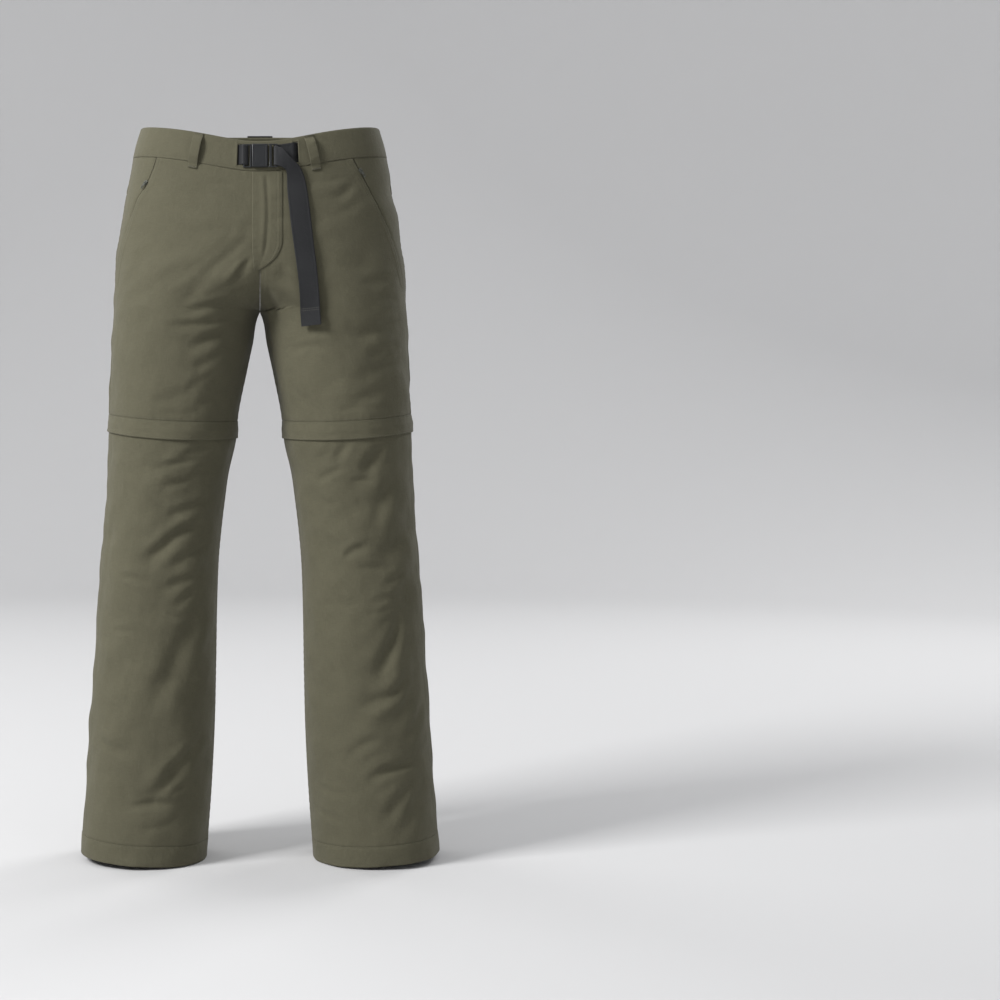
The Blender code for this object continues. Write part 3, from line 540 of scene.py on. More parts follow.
def creasing(side, height, angle):
    along = ARC * np.radians(angle)
    moved = np.zeros_like(height)
    for line in CREASES[side]:
        near = (np.abs(along - line.middle[0]) < line.reach[0]) & (np.abs(height - line.middle[1]) < line.reach[1])
        if not near.any():
            continue
        gap = np.stack([along[near], height[near]], -1)[:, None, :] - line.points
        closest = (gap**2).sum(-1).argmin(1)
        gap = gap[np.arange(len(closest)), closest]
        tangent = line.tangents[closest]
        off = gap[:, 0] * tangent[:, 1] - gap[:, 1] * tangent[:, 0]
        run = (closest + (gap * tangent).sum(-1) / line.step) / (len(line.points) - 1)
        width = line.width * (0.75 + 0.5 * np.clip(run, 0, 1))
        shape = np.exp(-((off / width) ** 2))
        rise = 0.9 * np.exp(-(((off + 1.8 * width) / (1.1 * width)) ** 2))
        rise += 0.55 * np.exp(-(((off - 1.9 * width) / (1.3 * width)) ** 2))
        moved[near] += line.depth * ease(run, 0, 0.3) * ease(1 - run, 0, 0.35) * (shape - line.beside * rise)
    moved *= ease(height, -18, -36)
    moved *= 1 - ease(-height, 360, 375) * ease(height, -414, -404)
    moved *= 1 - ease(-height, 948, 964)
    edge = np.abs(np.abs(angle) - np.where(angle < 0, -cut_angle(height, False), cut_angle(height, True)))
    return moved * ease(edge, 0.0, 9.0)


def waving(side, height, angle):
    along = ARC * np.radians(angle)
    drift = 0.9 * np.sin(height / 47 + along / 63 + side)
    moved = np.zeros_like(height)
    for length, direction, phase, rise in WAVES:
        turn = math.radians(direction)
        way = along * math.cos(turn) + height * math.sin(turn)
        moved += rise * np.sin(2 * math.pi * way / length + phase + 1.7 * side + drift)
    edge = np.abs(np.abs(angle) - np.where(angle < 0, -cut_angle(height, False), cut_angle(height, True)))
    return moved * ease(height, -16, -60) * ease(edge, 0.0, 12.0)


def calm(side, height, angle):
    """0 under the zip sliders, where the cloth lies flat, and 1 a little way off."""
    left = np.ones_like(height)
    for half, high, turn in ((-1, -52, -31), (1, -34, -52), (-1, -975, 41)):
        if half == side:
            off = (ARC * np.radians(angle - turn)) ** 2 + (height - high) ** 2
            left = left * (1 - np.exp(-off / 15**2))
    return left


def skin(side, height, angle, lift=0.0, creased=True):
    """Points of the cloth on one half and the way out of it, in millimetres."""
    height, angle = np.broadcast_arrays(np.asarray(height, float), np.asarray(angle, float))
    moved = folding(side, height, angle) + lift
    if creased:
        moved = moved + (creasing(side, height, angle) + waving(side, height, angle)) * calm(side, height, angle)
    normal = outward(height, angle)
    point = plain(height, angle) + normal * moved[..., None]
    flip = np.array([side, 1, 1])
    return point * flip, normal * flip


Grid = namedtuple("Grid", "side heights angles from_start from_end from_top from_foot")

LAPPED = (SEAM_HALF, 0.4, 0.8, 1.4, 2.0, 2.6, 3.6, 5.0, 6.4, 7.2, 8.0, 9.4, 11.2, 13.4)
TUCKED = (SEAM_HALF, 0.6, 1.6, 3.2, 5.4)
ROWS_TOP = (0, 0.5, 1.2, 2.0, 2.8, 4.6, 6.6, 8.6)


def run_of(length, first, last, pitch):
    """Distances along a piece, close together at its two edges."""
    first, last = np.asarray(first, float), length - np.asarray(last, float)[::-1]
    count = max(int((last[0] - first[-1]) / pitch), 1)
    return np.concatenate([first, np.linspace(first[-1], last[0], count + 1)[1:-1], last])


def lay_out(side, rows, start, end, start_steps, end_steps, pitch, heights_at=None):
    """The columns of a panel, at true distances from its two seams, for a list of heights from the top."""
    rows = np.asarray(rows, float)
    first, last = start(rows), end(rows)
    fine = first[:, None] + (last - first)[:, None] * np.linspace(0, 1, 81)
    steps = np.linalg.norm(np.diff(plain(rows[:, None] + 0 * fine, fine), axis=1), axis=2)
    runs = np.concatenate([np.zeros((len(rows), 1)), np.cumsum(steps, 1)], 1)
    widest = runs[:, -1].max()
    middle = max(int((widest - start_steps[-1] - end_steps[-1]) / pitch), 2)
    angles, distances = [], []
    for run, turns in zip(runs, fine):
        squeeze = min(1.0, run[-1] / (1.4 * (start_steps[-1] + end_steps[-1])))
        near = np.array(start_steps) * squeeze
        far = run[-1] - np.array(end_steps)[::-1] * squeeze
        distance = np.concatenate([near, np.linspace(near[-1], far[0], middle + 1)[1:-1], far])
        angles.append(np.interp(distance, run, turns))
        distances.append(distance)
    angles, distances = np.array(angles), np.array(distances)
    heights = rows[:, None] + 0 * angles
    if heights_at is not None:
        shares = (angles - first[:, None]) / (last - first)[:, None]
        heights = heights_at(rows, angles)
        low, high = start(heights), end(heights)
        angles = low + (high - low) * shares
    from_top = heights[:1] - heights
    return Grid(side, heights, angles, distances, runs[:, -1:] - distances, from_top, from_top[-1:] - from_top)


def pucker(along, distance, reach=7.0):
    """Small uneven waves that stitching draws into a seam."""
    wave = np.sin(2 * math.pi * along / 10.7 + 1.3 * np.sin(along / 23))
    return 0.22 * wave * (0.6 + 0.4 * np.sin(along / 31)) * np.exp(-((distance / reach) ** 2))


def lapped(distance, along, rows=(2.0, 7.2), rise=0.55):
    """The lift of cloth that is folded over its neighbour and stitched down in rows."""
    lift = rise * (1 - ease(distance, 9.4, 13.4)) - 0.8 * (1 - ease(distance, 0, 0.9))
    for row in rows:
        lift = lift - 0.2 * np.exp(-(((distance - row) / 0.7) ** 2))
    return lift + pucker(along, distance)


def tucked(distance, along):
    """The lift of cloth that goes under its neighbour."""
    return pucker(along, distance) - 0.35 * (1 - ease(distance, 0.0, 2.5))


def mesh_of(name, outer, inner, flat, ring=False, keep=None, wear=None):
    """A closed sheet from its two faces, with the cloth's own coordinates as its UV map in metres."""
    rows, columns = outer.shape[:2]
    index = np.arange(rows * columns).reshape(rows, columns)
    turns = columns if ring else columns - 1
    following = np.roll(index, -1, 1)
    a, b = index[:-1, :turns], index[1:, :turns]
    c, d = following[1:, :turns], following[:-1, :turns]
    cells = np.ones((rows - 1, turns), bool) if keep is None else keep
    under = rows * columns
    quads = [
        np.stack([a[cells], b[cells], c[cells], d[cells]], 1),
        np.stack([d[cells], c[cells], b[cells], a[cells]], 1) + under,
    ]
    wide = np.zeros((rows + 1, turns + 2), bool)
    wide[1:-1, 1:-1] = cells
    if ring:
        wide[1:-1, 0], wide[1:-1, -1] = cells[:, -1], cells[:, 0]
    sides = ((wide[1:-1, :-2], a, b), (wide[2:, 1:-1], b, c), (wide[1:-1, 2:], c, d), (wide[:-2, 1:-1], d, a))
    for beside, p, q in sides:
        edge = cells & ~beside
        quads.append(np.stack([q[edge], p[edge], p[edge] + under, q[edge] + under], 1))
    faces = np.concatenate(quads)
    points = np.concatenate([outer.reshape(-1, 3), inner.reshape(-1, 3)]) * MM
    corners = points[faces]
    volume = np.einsum("ij,ij->i", corners[:, 0], np.cross(corners[:, 1], corners[:, 2])).sum()
    volume += np.einsum("ij,ij->i", corners[:, 0], np.cross(corners[:, 2], corners[:, 3])).sum()
    if volume < 0:
        faces = faces[:, ::-1]
    used, faces = np.unique(faces, return_inverse=True)
    faces = faces.reshape(-1, 4)
    mesh = bpy.data.meshes.new(name)
    mesh.from_pydata(points[used].tolist(), [], faces.tolist())
    flat = np.concatenate([flat.reshape(-1, 2)] * 2)[used] * MM
    corners = flat[faces]
    if ring:
        around = flat[:, 0].max() - flat[:, 0].min()
        torn = np.ptp(corners[:, :, 0], axis=1) > around / 2
        low = corners[:, :, 0] < flat[:, 0].min() + around / 2
        corners[:, :, 0] += np.where(torn[:, None] & low, around, 0)
    mesh.uv_layers.new(name="cloth").data.foreach_set("uv", corners.reshape(-1).astype(np.float32))
    worn = np.zeros(rows * columns) if wear is None else wear.reshape(-1)
    layer = mesh.attributes.new("wear", "FLOAT", "POINT")
    layer.data.foreach_set("value", np.concatenate([worn, worn])[used].astype(np.float32))
    mesh.shade_smooth()
    mesh.set_sharp_from_angle(angle=math.radians(50))
    piece = bpy.data.objects.new(name, mesh)
    bpy.context.scene.collection.objects.link(piece)
    return piece


def unrolled(outer):
    """Each point's place on the flat cloth, in millimetres: along its row from the middle, and down the middle."""
    rows, columns = outer.shape[:2]
    across = np.linalg.norm(np.diff(outer, axis=1), axis=2)
    across = np.concatenate([np.zeros((rows, 1)), np.cumsum(across, 1)], 1)
    middle = columns // 2
    across -= across[:, middle : middle + 1]
    down = np.linalg.norm(np.diff(outer, axis=0), axis=2)
    down = np.concatenate([np.zeros((1, columns)), np.cumsum(down, 0)], 0)
    return np.stack([across, down[:, middle : middle + 1] + 0 * across], -1)


Sewn = namedtuple("Sewn", "piece outer normal")


def make_cloth(node, outer, normal, thickness, material, ring=False, keep=None, wear=None):
    """The wall of one cloth piece, in place of its plain solid."""
    inner = outer - normal * thickness
    flat = unrolled(outer)
    piece = mesh_of("cloth_" + node, outer, inner, flat, ring, keep, wear)
    piece.data.materials.append(material)
    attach(piece, "trousers")
    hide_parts(node)
    wide = max(np.ptp(flat[:, :, 0], axis=1).max() * MM, 0.01)
    tall = np.ptp(flat[:, :, 1], axis=0).max() * MM
    if ring:
        wide += np.linalg.norm(outer[:, -1] - outer[:, 0], axis=1).max() * MM
    cell = np.linalg.norm(
        np.cross(outer[1:, :-1] - outer[:-1, :-1], outer[:-1, 1:] - outer[:-1, :-1]), axis=2
    )
    if keep is not None:
        cell = cell * keep[:, : cell.shape[1]]
    wide, tall = round(float(wide), 4), round(float(tall), 4)
    return Sewn(piece, outer, normal)


def sew(name, lines, pitch=3.1, length=2.35, width=0.6, high=0.34):
    """Rows of stitches, each a small bead of thread that dips into the cloth at its ends."""
    starts, ends, middles, normals = [], [], [], []
    for points, ways in lines:
        steps = np.linalg.norm(np.diff(points, axis=0), axis=1)
        run = np.concatenate([[0], np.cumsum(steps)])
        count = int(run[-1] / pitch)
        if count < 1:
            continue
        centre = (np.arange(count) + 0.5) * run[-1] / count
        for kept, at in ((starts, centre - length / 2), (ends, centre + length / 2), (middles, centre)):
            kept.append(np.stack([np.interp(at, run, points[:, k]) for k in range(3)], 1))
        normals.append(np.stack([np.interp(centre, run, ways[:, k]) for k in range(3)], 1))
    start, end, middle, normal = (np.concatenate(part) for part in (starts, ends, middles, normals))
    normal /= np.linalg.norm(normal, axis=1, keepdims=True)
    along = end - start
    along /= np.linalg.norm(along, axis=1, keepdims=True) + 1e-9
    across = np.cross(normal, along)
    corners = np.stack(
        [
            start - 0.1 * normal,
            middle + across * width / 2 + 0.05 * normal,
            end - 0.1 * normal,
            middle - across * width / 2 + 0.05 * normal,
            middle + high * normal,
            middle - 0.15 * normal,
        ],
        1,
    )
    pattern = np.array([(0, 1, 4), (1, 2, 4), (2, 3, 4), (3, 0, 4), (1, 0, 5), (2, 1, 5), (3, 2, 5), (0, 3, 5)])
    faces = (np.arange(len(corners))[:, None, None] * 6 + pattern).reshape(-1, 3)
    mesh = bpy.data.meshes.new(name)
    mesh.from_pydata((corners.reshape(-1, 3) * MM).tolist(), [], faces[:, ::-1].tolist())
    mesh.shade_smooth()
    mesh.materials.append(thread)
    piece = bpy.data.objects.new(name, mesh)
    bpy.context.scene.collection.objects.link(piece)
    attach(piece, "trousers")
    return piece


class Shade:
    """A value in a material that takes ordinary arithmetic."""

    def __init__(self, tree, socket):
        self.tree = tree
        self.socket = socket

    def math(self, operation, *others):
        node = self.tree.nodes.new("ShaderNodeMath")
        node.operation = operation
        for place, value in enumerate((self, *others)):
            if isinstance(value, Shade):
                self.tree.links.new(value.socket, node.inputs[place])
            else:
                node.inputs[place].default_value = value
        return Shade(self.tree, node.outputs[0])

    def __add__(self, other):
        return self.math("ADD", other)

    def __sub__(self, other):
        return self.math("SUBTRACT", other)

    def __mul__(self, other):
        return self.math("MULTIPLY", other)

    def node(self, kind, output=0, settings=None, **inputs):
        """Any other node, with this value's tree, its settings and its inputs by name."""
        node = self.tree.nodes.new(kind)
        for key, value in (settings or {}).items():
            setattr(node, key, value)
        for key, value in inputs.items():
            place = node.inputs[key.replace("_", " ")]
            if isinstance(value, Shade):
                self.tree.links.new(value.socket, place)
            else:
                place.default_value = value
        return Shade(self.tree, node.outputs[output])


def new_material(name, colour, roughness, **values):
    """A material and the start of its tree, with its steady values on the shader's own sockets."""
    material = bpy.data.materials.new(name)
    material.use_nodes = True
    material.diffuse_color = (*colour, 1)
    shader = material.node_tree.nodes["Principled BSDF"]
    shader.inputs["Base Color"].default_value = (*colour, 1)
    shader.inputs["Roughness"].default_value = roughness
    for key, value in values.items():
        shader.inputs[key.replace("_", " ")].default_value = value
    return material, shader, Shade(material.node_tree, None)


def cloth_material(name, colour, pitch, roughness=0.88, weave=0.00006, mottle=0.16, sheen=0.05):
    """Woven cloth: over and under threads with slubs, and soft uneven fading, paler on worn folds."""
    material, shader, start = new_material(
        name, colour, roughness, Specular_IOR_Level=0.22, Sheen_Weight=sheen, Sheen_Roughness=0.5
    )
    place = start.node("ShaderNodeUVMap", settings={"uv_map": "cloth"})
    split = place.tree.nodes.new("ShaderNodeSeparateXYZ")
    place.tree.links.new(place.socket, split.inputs[0])
    u, v = Shade(place.tree, split.outputs[0]), Shade(place.tree, split.outputs[1])
    warp = (u * (math.pi / pitch)).math("SINE")
    weft = (v * (math.pi / pitch)).math("SINE")
    over = warp * weft
    long_warp = start.node("ShaderNodeCombineXYZ", X=u * 2200, Y=v * 70)
    long_weft = start.node("ShaderNodeCombineXYZ", X=u * 70, Y=v * 2200)
    slub_warp = start.node("ShaderNodeTexNoise", Vector=long_warp, Scale=1.0, Detail=2.0)
    slub_weft = start.node("ShaderNodeTexNoise", Vector=long_weft, Scale=1.0, Detail=2.0)
    body = start.node("ShaderNodeTexCoord", output="Object")
    broad = start.node("ShaderNodeTexNoise", Vector=body, Scale=14.0, Detail=4.0, Roughness=0.6)
    cloud = start.node("ShaderNodeTexNoise", Vector=body, Scale=90.0, Detail=3.0, Roughness=0.65)
    grain = start.node("ShaderNodeTexNoise", Vector=body, Scale=620.0, Detail=2.0)
    worn = start.node("ShaderNodeAttribute", output="Fac", settings={"attribute_name": "wear"})
    tone = (slub_warp + slub_weft - 1.0) * 0.30 + (broad - 0.5) * mottle + (cloud - 0.5) * (mottle * 0.9)
    tone = tone + (grain - 0.5) * 0.22 + worn * 0.16 + 1.0
    scaled = start.node("ShaderNodeVectorMath", settings={"operation": "SCALE"}, Vector=colour, Scale=tone)
    scaled.tree.links.new(scaled.socket, shader.inputs["Base Color"])
    height = over * 0.5 + (slub_warp + slub_weft) * 0.8 + grain * 0.5
    bump = start.node("ShaderNodeBump", Strength=1.0, Distance=weave, Height=height)
    soft = start.node("ShaderNodeBump", Strength=1.0, Distance=0.0007, Height=cloud, Normal=bump)
    soft.tree.links.new(soft.socket, shader.inputs["Normal"])
    return material


OLIVE = (0.083, 0.078, 0.050)
canvas = cloth_material("olive canvas", OLIVE, 0.00055)
tape_cloth = cloth_material("zip tape", (0.030, 0.028, 0.019), 0.0007, mottle=0.05)
thread, thread_shader, _ = new_material("olive thread", (0.094, 0.089, 0.058), 0.7, Sheen_Weight=0.1)


def side_seam(height):
    return -4.0 - 10.0 * ease(-height, 200, 390)


# The slanted pocket edges, in millimetres up and out from the middle
POCKET_EDGES = {
    -1: np.array(
        [(-20, 143), (-27, 144.6), (-55, 156.2), (-73, 168), (-82, 173), (-128, 189), (-164, 198.8), (-200, 203.5)]
    ),
    1: np.array(
        [(-20, 127), (-28, 130.2), (-48, 141.8), (-69, 153.5), (-94, 166.6), (-124, 181.2), (-160, 192.7), (-200, 201)]
    ),
}


def pocket_angle(side, height):
    angle = np.full_like(height, -30.0)
    for _ in range(4):
        high = level(height, angle)
        angle = spot(read(POCKET_EDGES[side], high, 1), high, False)[1]
    return np.minimum(angle, side_seam(height))


def front_edge(side, height):
    """The slanted pocket, and below its end the side seam."""
    closing = np.clip((POCKET_END - height) / POCKET_CLOSE, 0.0, 1.0)
    return pocket_angle(side, height) * (1 - closing) + side_seam(height) * closing


def line_at(sewn, column=None, row=None, keep=slice(None)):
    """The points and the ways out along one column or row of a piece, for a row of stitches."""
    if column is None:
        return sewn.outer[row][keep], sewn.normal[row][keep]
    return sewn.outer[:, column][keep], sewn.normal[:, column][keep]


SIDES = {"right": -1, "left": 1}
upper_rows = BAND_BOTTOM - 0.3 - run_of(BAND_BOTTOM - 0.3 - FLAP_TOP - 0.3, ROWS_TOP, ROWS_TOP, 3.0)
fronts = {}
for word, side in SIDES.items():
    grid = lay_out(
        side, upper_rows,
        lambda h, s=side: front_edge(s, h), lambda h: cut_angle(h, False),
        LAPPED, LAPPED if side > 0 else TUCKED, 2.9,
    )
    pocketed = 1 - ease(-grid.heights, 196, 206)
    lift = lapped(grid.from_start, grid.heights) * pocketed
    lift += tucked(grid.from_start, grid.heights) * (1 - pocketed)
    if side > 0:
        lift += lapped(grid.from_end, grid.heights, rows=(2.0, 6.4), rise=0.4)
    else:
        lift += tucked(grid.from_end, grid.heights)
    lift += tucked(grid.from_top, grid.angles * 1.6) + tucked(grid.from_foot, grid.angles * 1.6)
    outer, normal = skin(side, grid.heights, grid.angles, lift)
    outer[..., 0] = side * np.maximum(side * outer[..., 0], SEAM_HALF)
    wear = 0.8 * np.exp(-((grid.from_start / 1.1) ** 2)) * pocketed
    fronts[word] = make_cloth(f"front_{word}", outer, normal, CLOTH, canvas, wear=wear)
    edge_rows = grid.heights[:, 0] > POCKET_END + 4
    lines = [line_at(fronts[word], column=4, keep=edge_rows), line_at(fronts[word], column=9, keep=edge_rows)]
    lines += [line_at(fronts[word], row=-4)]
    if side > 0:
        rise = grid.heights[:, 0] > CROTCH - 4
        lines += [line_at(fronts[word], column=-5, keep=rise), line_at(fronts[word], column=-9, keep=rise)]
    sew(f"stitching_front_{word}", lines)

# Yokes and back panels
# A shallow yoke under the waistband is lapped over each back panel and stitched twice along the seam.
# The seat seam and the yoke's centre seam are lapped towards the wearer's left and stitched twice.
def yoke_height(angle):
    return YOKE_SEAM + YOKE_RISE * np.sin(np.radians(angle)) ** 2


def back_heights(rows, angles):
    drawn = 1 - ease(YOKE_SEAM - rows, 0, 40)
    return rows[:, None] + (yoke_height(angles) - YOKE_SEAM) * drawn[:, None]


def yoke_heights(rows, angles):
    share = (rows - rows[0]) / (rows[-1] - rows[0])
    return rows[0] + (yoke_height(angles) - rows[0]) * share[:, None]


yoke_rows = BAND_BOTTOM - 0.3 - run_of(BAND_BOTTOM - 0.45 - YOKE_SEAM, ROWS_TOP, LAPPED, 2.8)
back_rows = YOKE_SEAM - 0.15 - run_of(YOKE_SEAM - 0.45 - FLAP_TOP, ROWS_TOP, ROWS_TOP, 3.0)
backs, yokes = {}, {}
for word, side in SIDES.items():
    centre_steps = LAPPED if side > 0 else TUCKED
    for kept, node, rows, heights_at in (
        (yokes, f"yoke_{word}", yoke_rows, yoke_heights),
        (backs, f"back_{word}", back_rows, back_heights),
    ):
        grid = lay_out(
            side, rows, side_seam, lambda h: cut_angle(h, True), LAPPED, centre_steps, 2.9, heights_at
        )
        lift = lapped(grid.from_start, grid.heights, rows=(2.0,), rise=0.35)
        if side > 0:
            lift += lapped(grid.from_end, grid.heights, rows=(2.0, 6.4), rise=0.45)
        else:
            lift += tucked(grid.from_end, grid.heights)
        if kept is yokes:
            lift += lapped(grid.from_foot, grid.angles * 1.6) + tucked(grid.from_top, grid.angles * 1.6)
        else:
            lift += tucked(grid.from_top, grid.angles * 1.6) + tucked(grid.from_foot, grid.angles * 1.6)
        outer, normal = skin(side, grid.heights, grid.angles, lift)
        outer[..., 0] = side * np.maximum(side * outer[..., 0], SEAM_HALF)
        kept[word] = make_cloth(node, outer, normal, CLOTH, canvas)
        lines = [line_at(kept[word], column=4)]
        if side > 0:
            above = grid.heights[:, -1] > CROTCH - 4
            lines += [line_at(kept[word], column=-5, keep=above), line_at(kept[word], column=-9, keep=above)]
        if kept is yokes:
            lines += [line_at(kept[word], row=-5), line_at(kept[word], row=-10)]
        else:
            lines += [line_at(kept[word], row=-4)]
        sew(f"stitching_{node}", lines)

# Hip pieces and pocket zips
# Behind each slanted pocket edge lies a hip piece, and between the two runs a covered coil zip.
# The zip's tape lies under both, and its teeth show as a thin dark line in the opening.
POCKET_OPENING = 1.3
POCKET_TAPE_HALF = 4
facing_rows = BAND_BOTTOM - 0.3 - run_of(207.5 + BAND_BOTTOM - 0.3, ROWS_TOP, (0, 2, 5), 3.2)
tape_rows = BAND_BOTTOM - 0.3 - run_of(162 + BAND_BOTTOM - 0.3, (0, 1), (0, 1), 3.0)


pocket_tapes = {}


def turn_for(distance, height, angle):
    """The turn that moves a point this far along the section."""
    return distance / np.linalg.norm(plain(height, angle + 0.5) - plain(height, angle - 0.5), axis=-1)


for word, side in SIDES.items():
    grid = lay_out(
        side, facing_rows,
        lambda h, s=side: front_edge(s, h) + turn_for(POCKET_OPENING, h, pocket_angle(s, h)), side_seam,
        TUCKED, TUCKED, 2.8,
    )
    lift = tucked(grid.from_end, grid.heights) + tucked(grid.from_top, grid.angles * 1.6)
    lift -= 0.5 * (1 - ease(grid.from_start, 0, 5))
    outer, normal = skin(side, grid.heights, grid.angles, lift)
    make_cloth(f"pocket_facing_{word}", outer, normal, CLOTH, canvas)
    middle = pocket_angle(side, tape_rows)
    middle = middle + turn_for(POCKET_OPENING / 2, tape_rows, middle)
    spread = np.linspace(-1, 1, 9)
    angles = middle[:, None] + turn_for(POCKET_TAPE_HALF, tape_rows, middle)[:, None] * spread
    ridge = 0.5 * np.exp(-((spread / 0.28) ** 2))
    outer, normal = skin(side, tape_rows[:, None], angles, -CLOTH - 0.9 + ridge)
    pocket_tapes[word] = make_cloth(f"pocket_zip_{word}", outer, normal, 1.1, tape_cloth)

# Lower legs
# Each lower leg is a front and a back joined down both sides, with the front lapped and stitched twice.
# The wearer's right back is slit behind the side seam for the ankle zip and gapes towards the hem.
ANKLE_LINE = np.array([(-700, 30), (-726, 30), (-811, 37), (-900, 39.5), (-1010, 41)], float)


def ankle_angle(height):
    return read(ANKLE_LINE, np.asarray(height, float), 1)


def slit_half(height):
    return 0.9 + 2.1 * ease(-height, 760, 990)


lower_rows = LOWER_TOP - run_of(LOWER_TOP - HEM_TOP - 0.3, (0, 2, 4.5), ROWS_TOP, 3.4)
lowers = {}
for word, side in SIDES.items():
    grid = lay_out(side, lower_rows, side_seam, lambda h: cut_angle(h - 900, False), LAPPED, LAPPED, 3.0)
    lift = lapped(grid.from_start, grid.heights, rise=0.45)
    lift += lapped(grid.from_end, grid.heights, rise=0.45) + tucked(grid.from_foot, grid.angles * 1.6)
    outer, normal = skin(side, grid.heights, grid.angles, lift)
    lowers[f"front_{word}"] = front = make_cloth(f"lower_front_{word}", outer, normal, CLOTH, canvas)
    lines = [line_at(front, column=column) for column in (4, 9, -5, -10)]
    sew(f"stitching_lower_front_{word}", lines)
    if side > 0:
        grid = lay_out(side, lower_rows, side_seam, lambda h: 180.0 + 0 * h, LAPPED, TUCKED, 3.0)
        near_columns, slit, keep = None, 0.0, None
        lift = 0.0
    else:
        near = lay_out(
            side, lower_rows, side_seam,
            lambda h: ankle_angle(h) - turn_for(slit_half(h), h, ankle_angle(h)), LAPPED, LAPPED, 3.0,
        )
        far = lay_out(
            side, lower_rows,
            lambda h: ankle_angle(h) + turn_for(slit_half(h), h, ankle_angle(h)), lambda h: 180.0 + 0 * h,
            LAPPED, TUCKED, 3.0,
        )
        near_columns = near.angles.shape[1]
        slit = ease(-np.concatenate([near.heights, far.heights], 1), 716, 734)
        lift = slit * np.concatenate(
            [lapped(near.from_end, near.heights, rows=(5.0,)), lapped(far.from_start, far.heights, rows=(5.0,))], 1
        )
        from_start = np.concatenate([near.from_start, 400 + far.from_start], 1)
        from_end = np.concatenate([400 + near.from_end, far.from_end], 1)
        parts = [np.concatenate([getattr(near, f), getattr(far, f)], 1) for f in ("heights", "angles")]
        feet = [np.concatenate([getattr(near, f), getattr(far, f)], 1) for f in ("from_top", "from_foot")]
        grid = Grid(side, *parts, from_start, from_end, *feet)
        keep = np.ones((len(lower_rows) - 1, grid.angles.shape[1] - 1), bool)
        keep[lower_rows[1:] < ANKLE_ZIP_TOP, near_columns - 1] = False
    lift = lift + lapped(grid.from_start, grid.heights, rows=(2.0,), rise=0.3)
    lift = lift + tucked(grid.from_end, grid.heights) + tucked(grid.from_foot, grid.angles * 1.6)
    outer, normal = skin(side, grid.heights, grid.angles, lift)
    wear = None
    if near_columns:
        wear = np.zeros_like(grid.heights)
        beside = slice(near_columns - 3, near_columns + 3)
        wear[:, beside] = 0.9 * slit[:, beside]
    back = make_cloth(f"lower_back_{word}", outer, normal, CLOTH, canvas, keep=keep, wear=wear)
    lines = [line_at(back, column=4)]
    if near_columns:
        below = grid.heights[:, 0] < ANKLE_ZIP_TOP + 6
        lines += [line_at(back, column=near_columns - 8, keep=below), line_at(back, column=near_columns + 7, keep=below)]
        end = int(np.argmax(below))
        lines += [line_at(back, row=end, keep=slice(near_columns - 8, near_columns + 8))]
    sew(f"stitching_lower_back_{word}", lines)


# Knee flaps, knee zips and hems
# A folded flap sewn into the knee seam hides the coil zip that joins upper and lower leg.
# Each hem is turned up twice and stitched once, and washing has drawn it into small slanting ripples.
def ring_angles(height, pitch, start=-180.0, end=180.0):
    """Turns at even distances round one leg."""
    fine = np.linspace(start, end, 721)
    steps = np.linalg.norm(np.diff(plain(height + 0 * fine, fine), axis=0), axis=1)
    run = np.concatenate([[0], np.cumsum(steps)])
    count = int(run[-1] / pitch)
    places = np.linspace(0, run[-1], count + 1)
    if end - start >= 360:
        places = places[:-1]
    return np.interp(places, run, fine), places


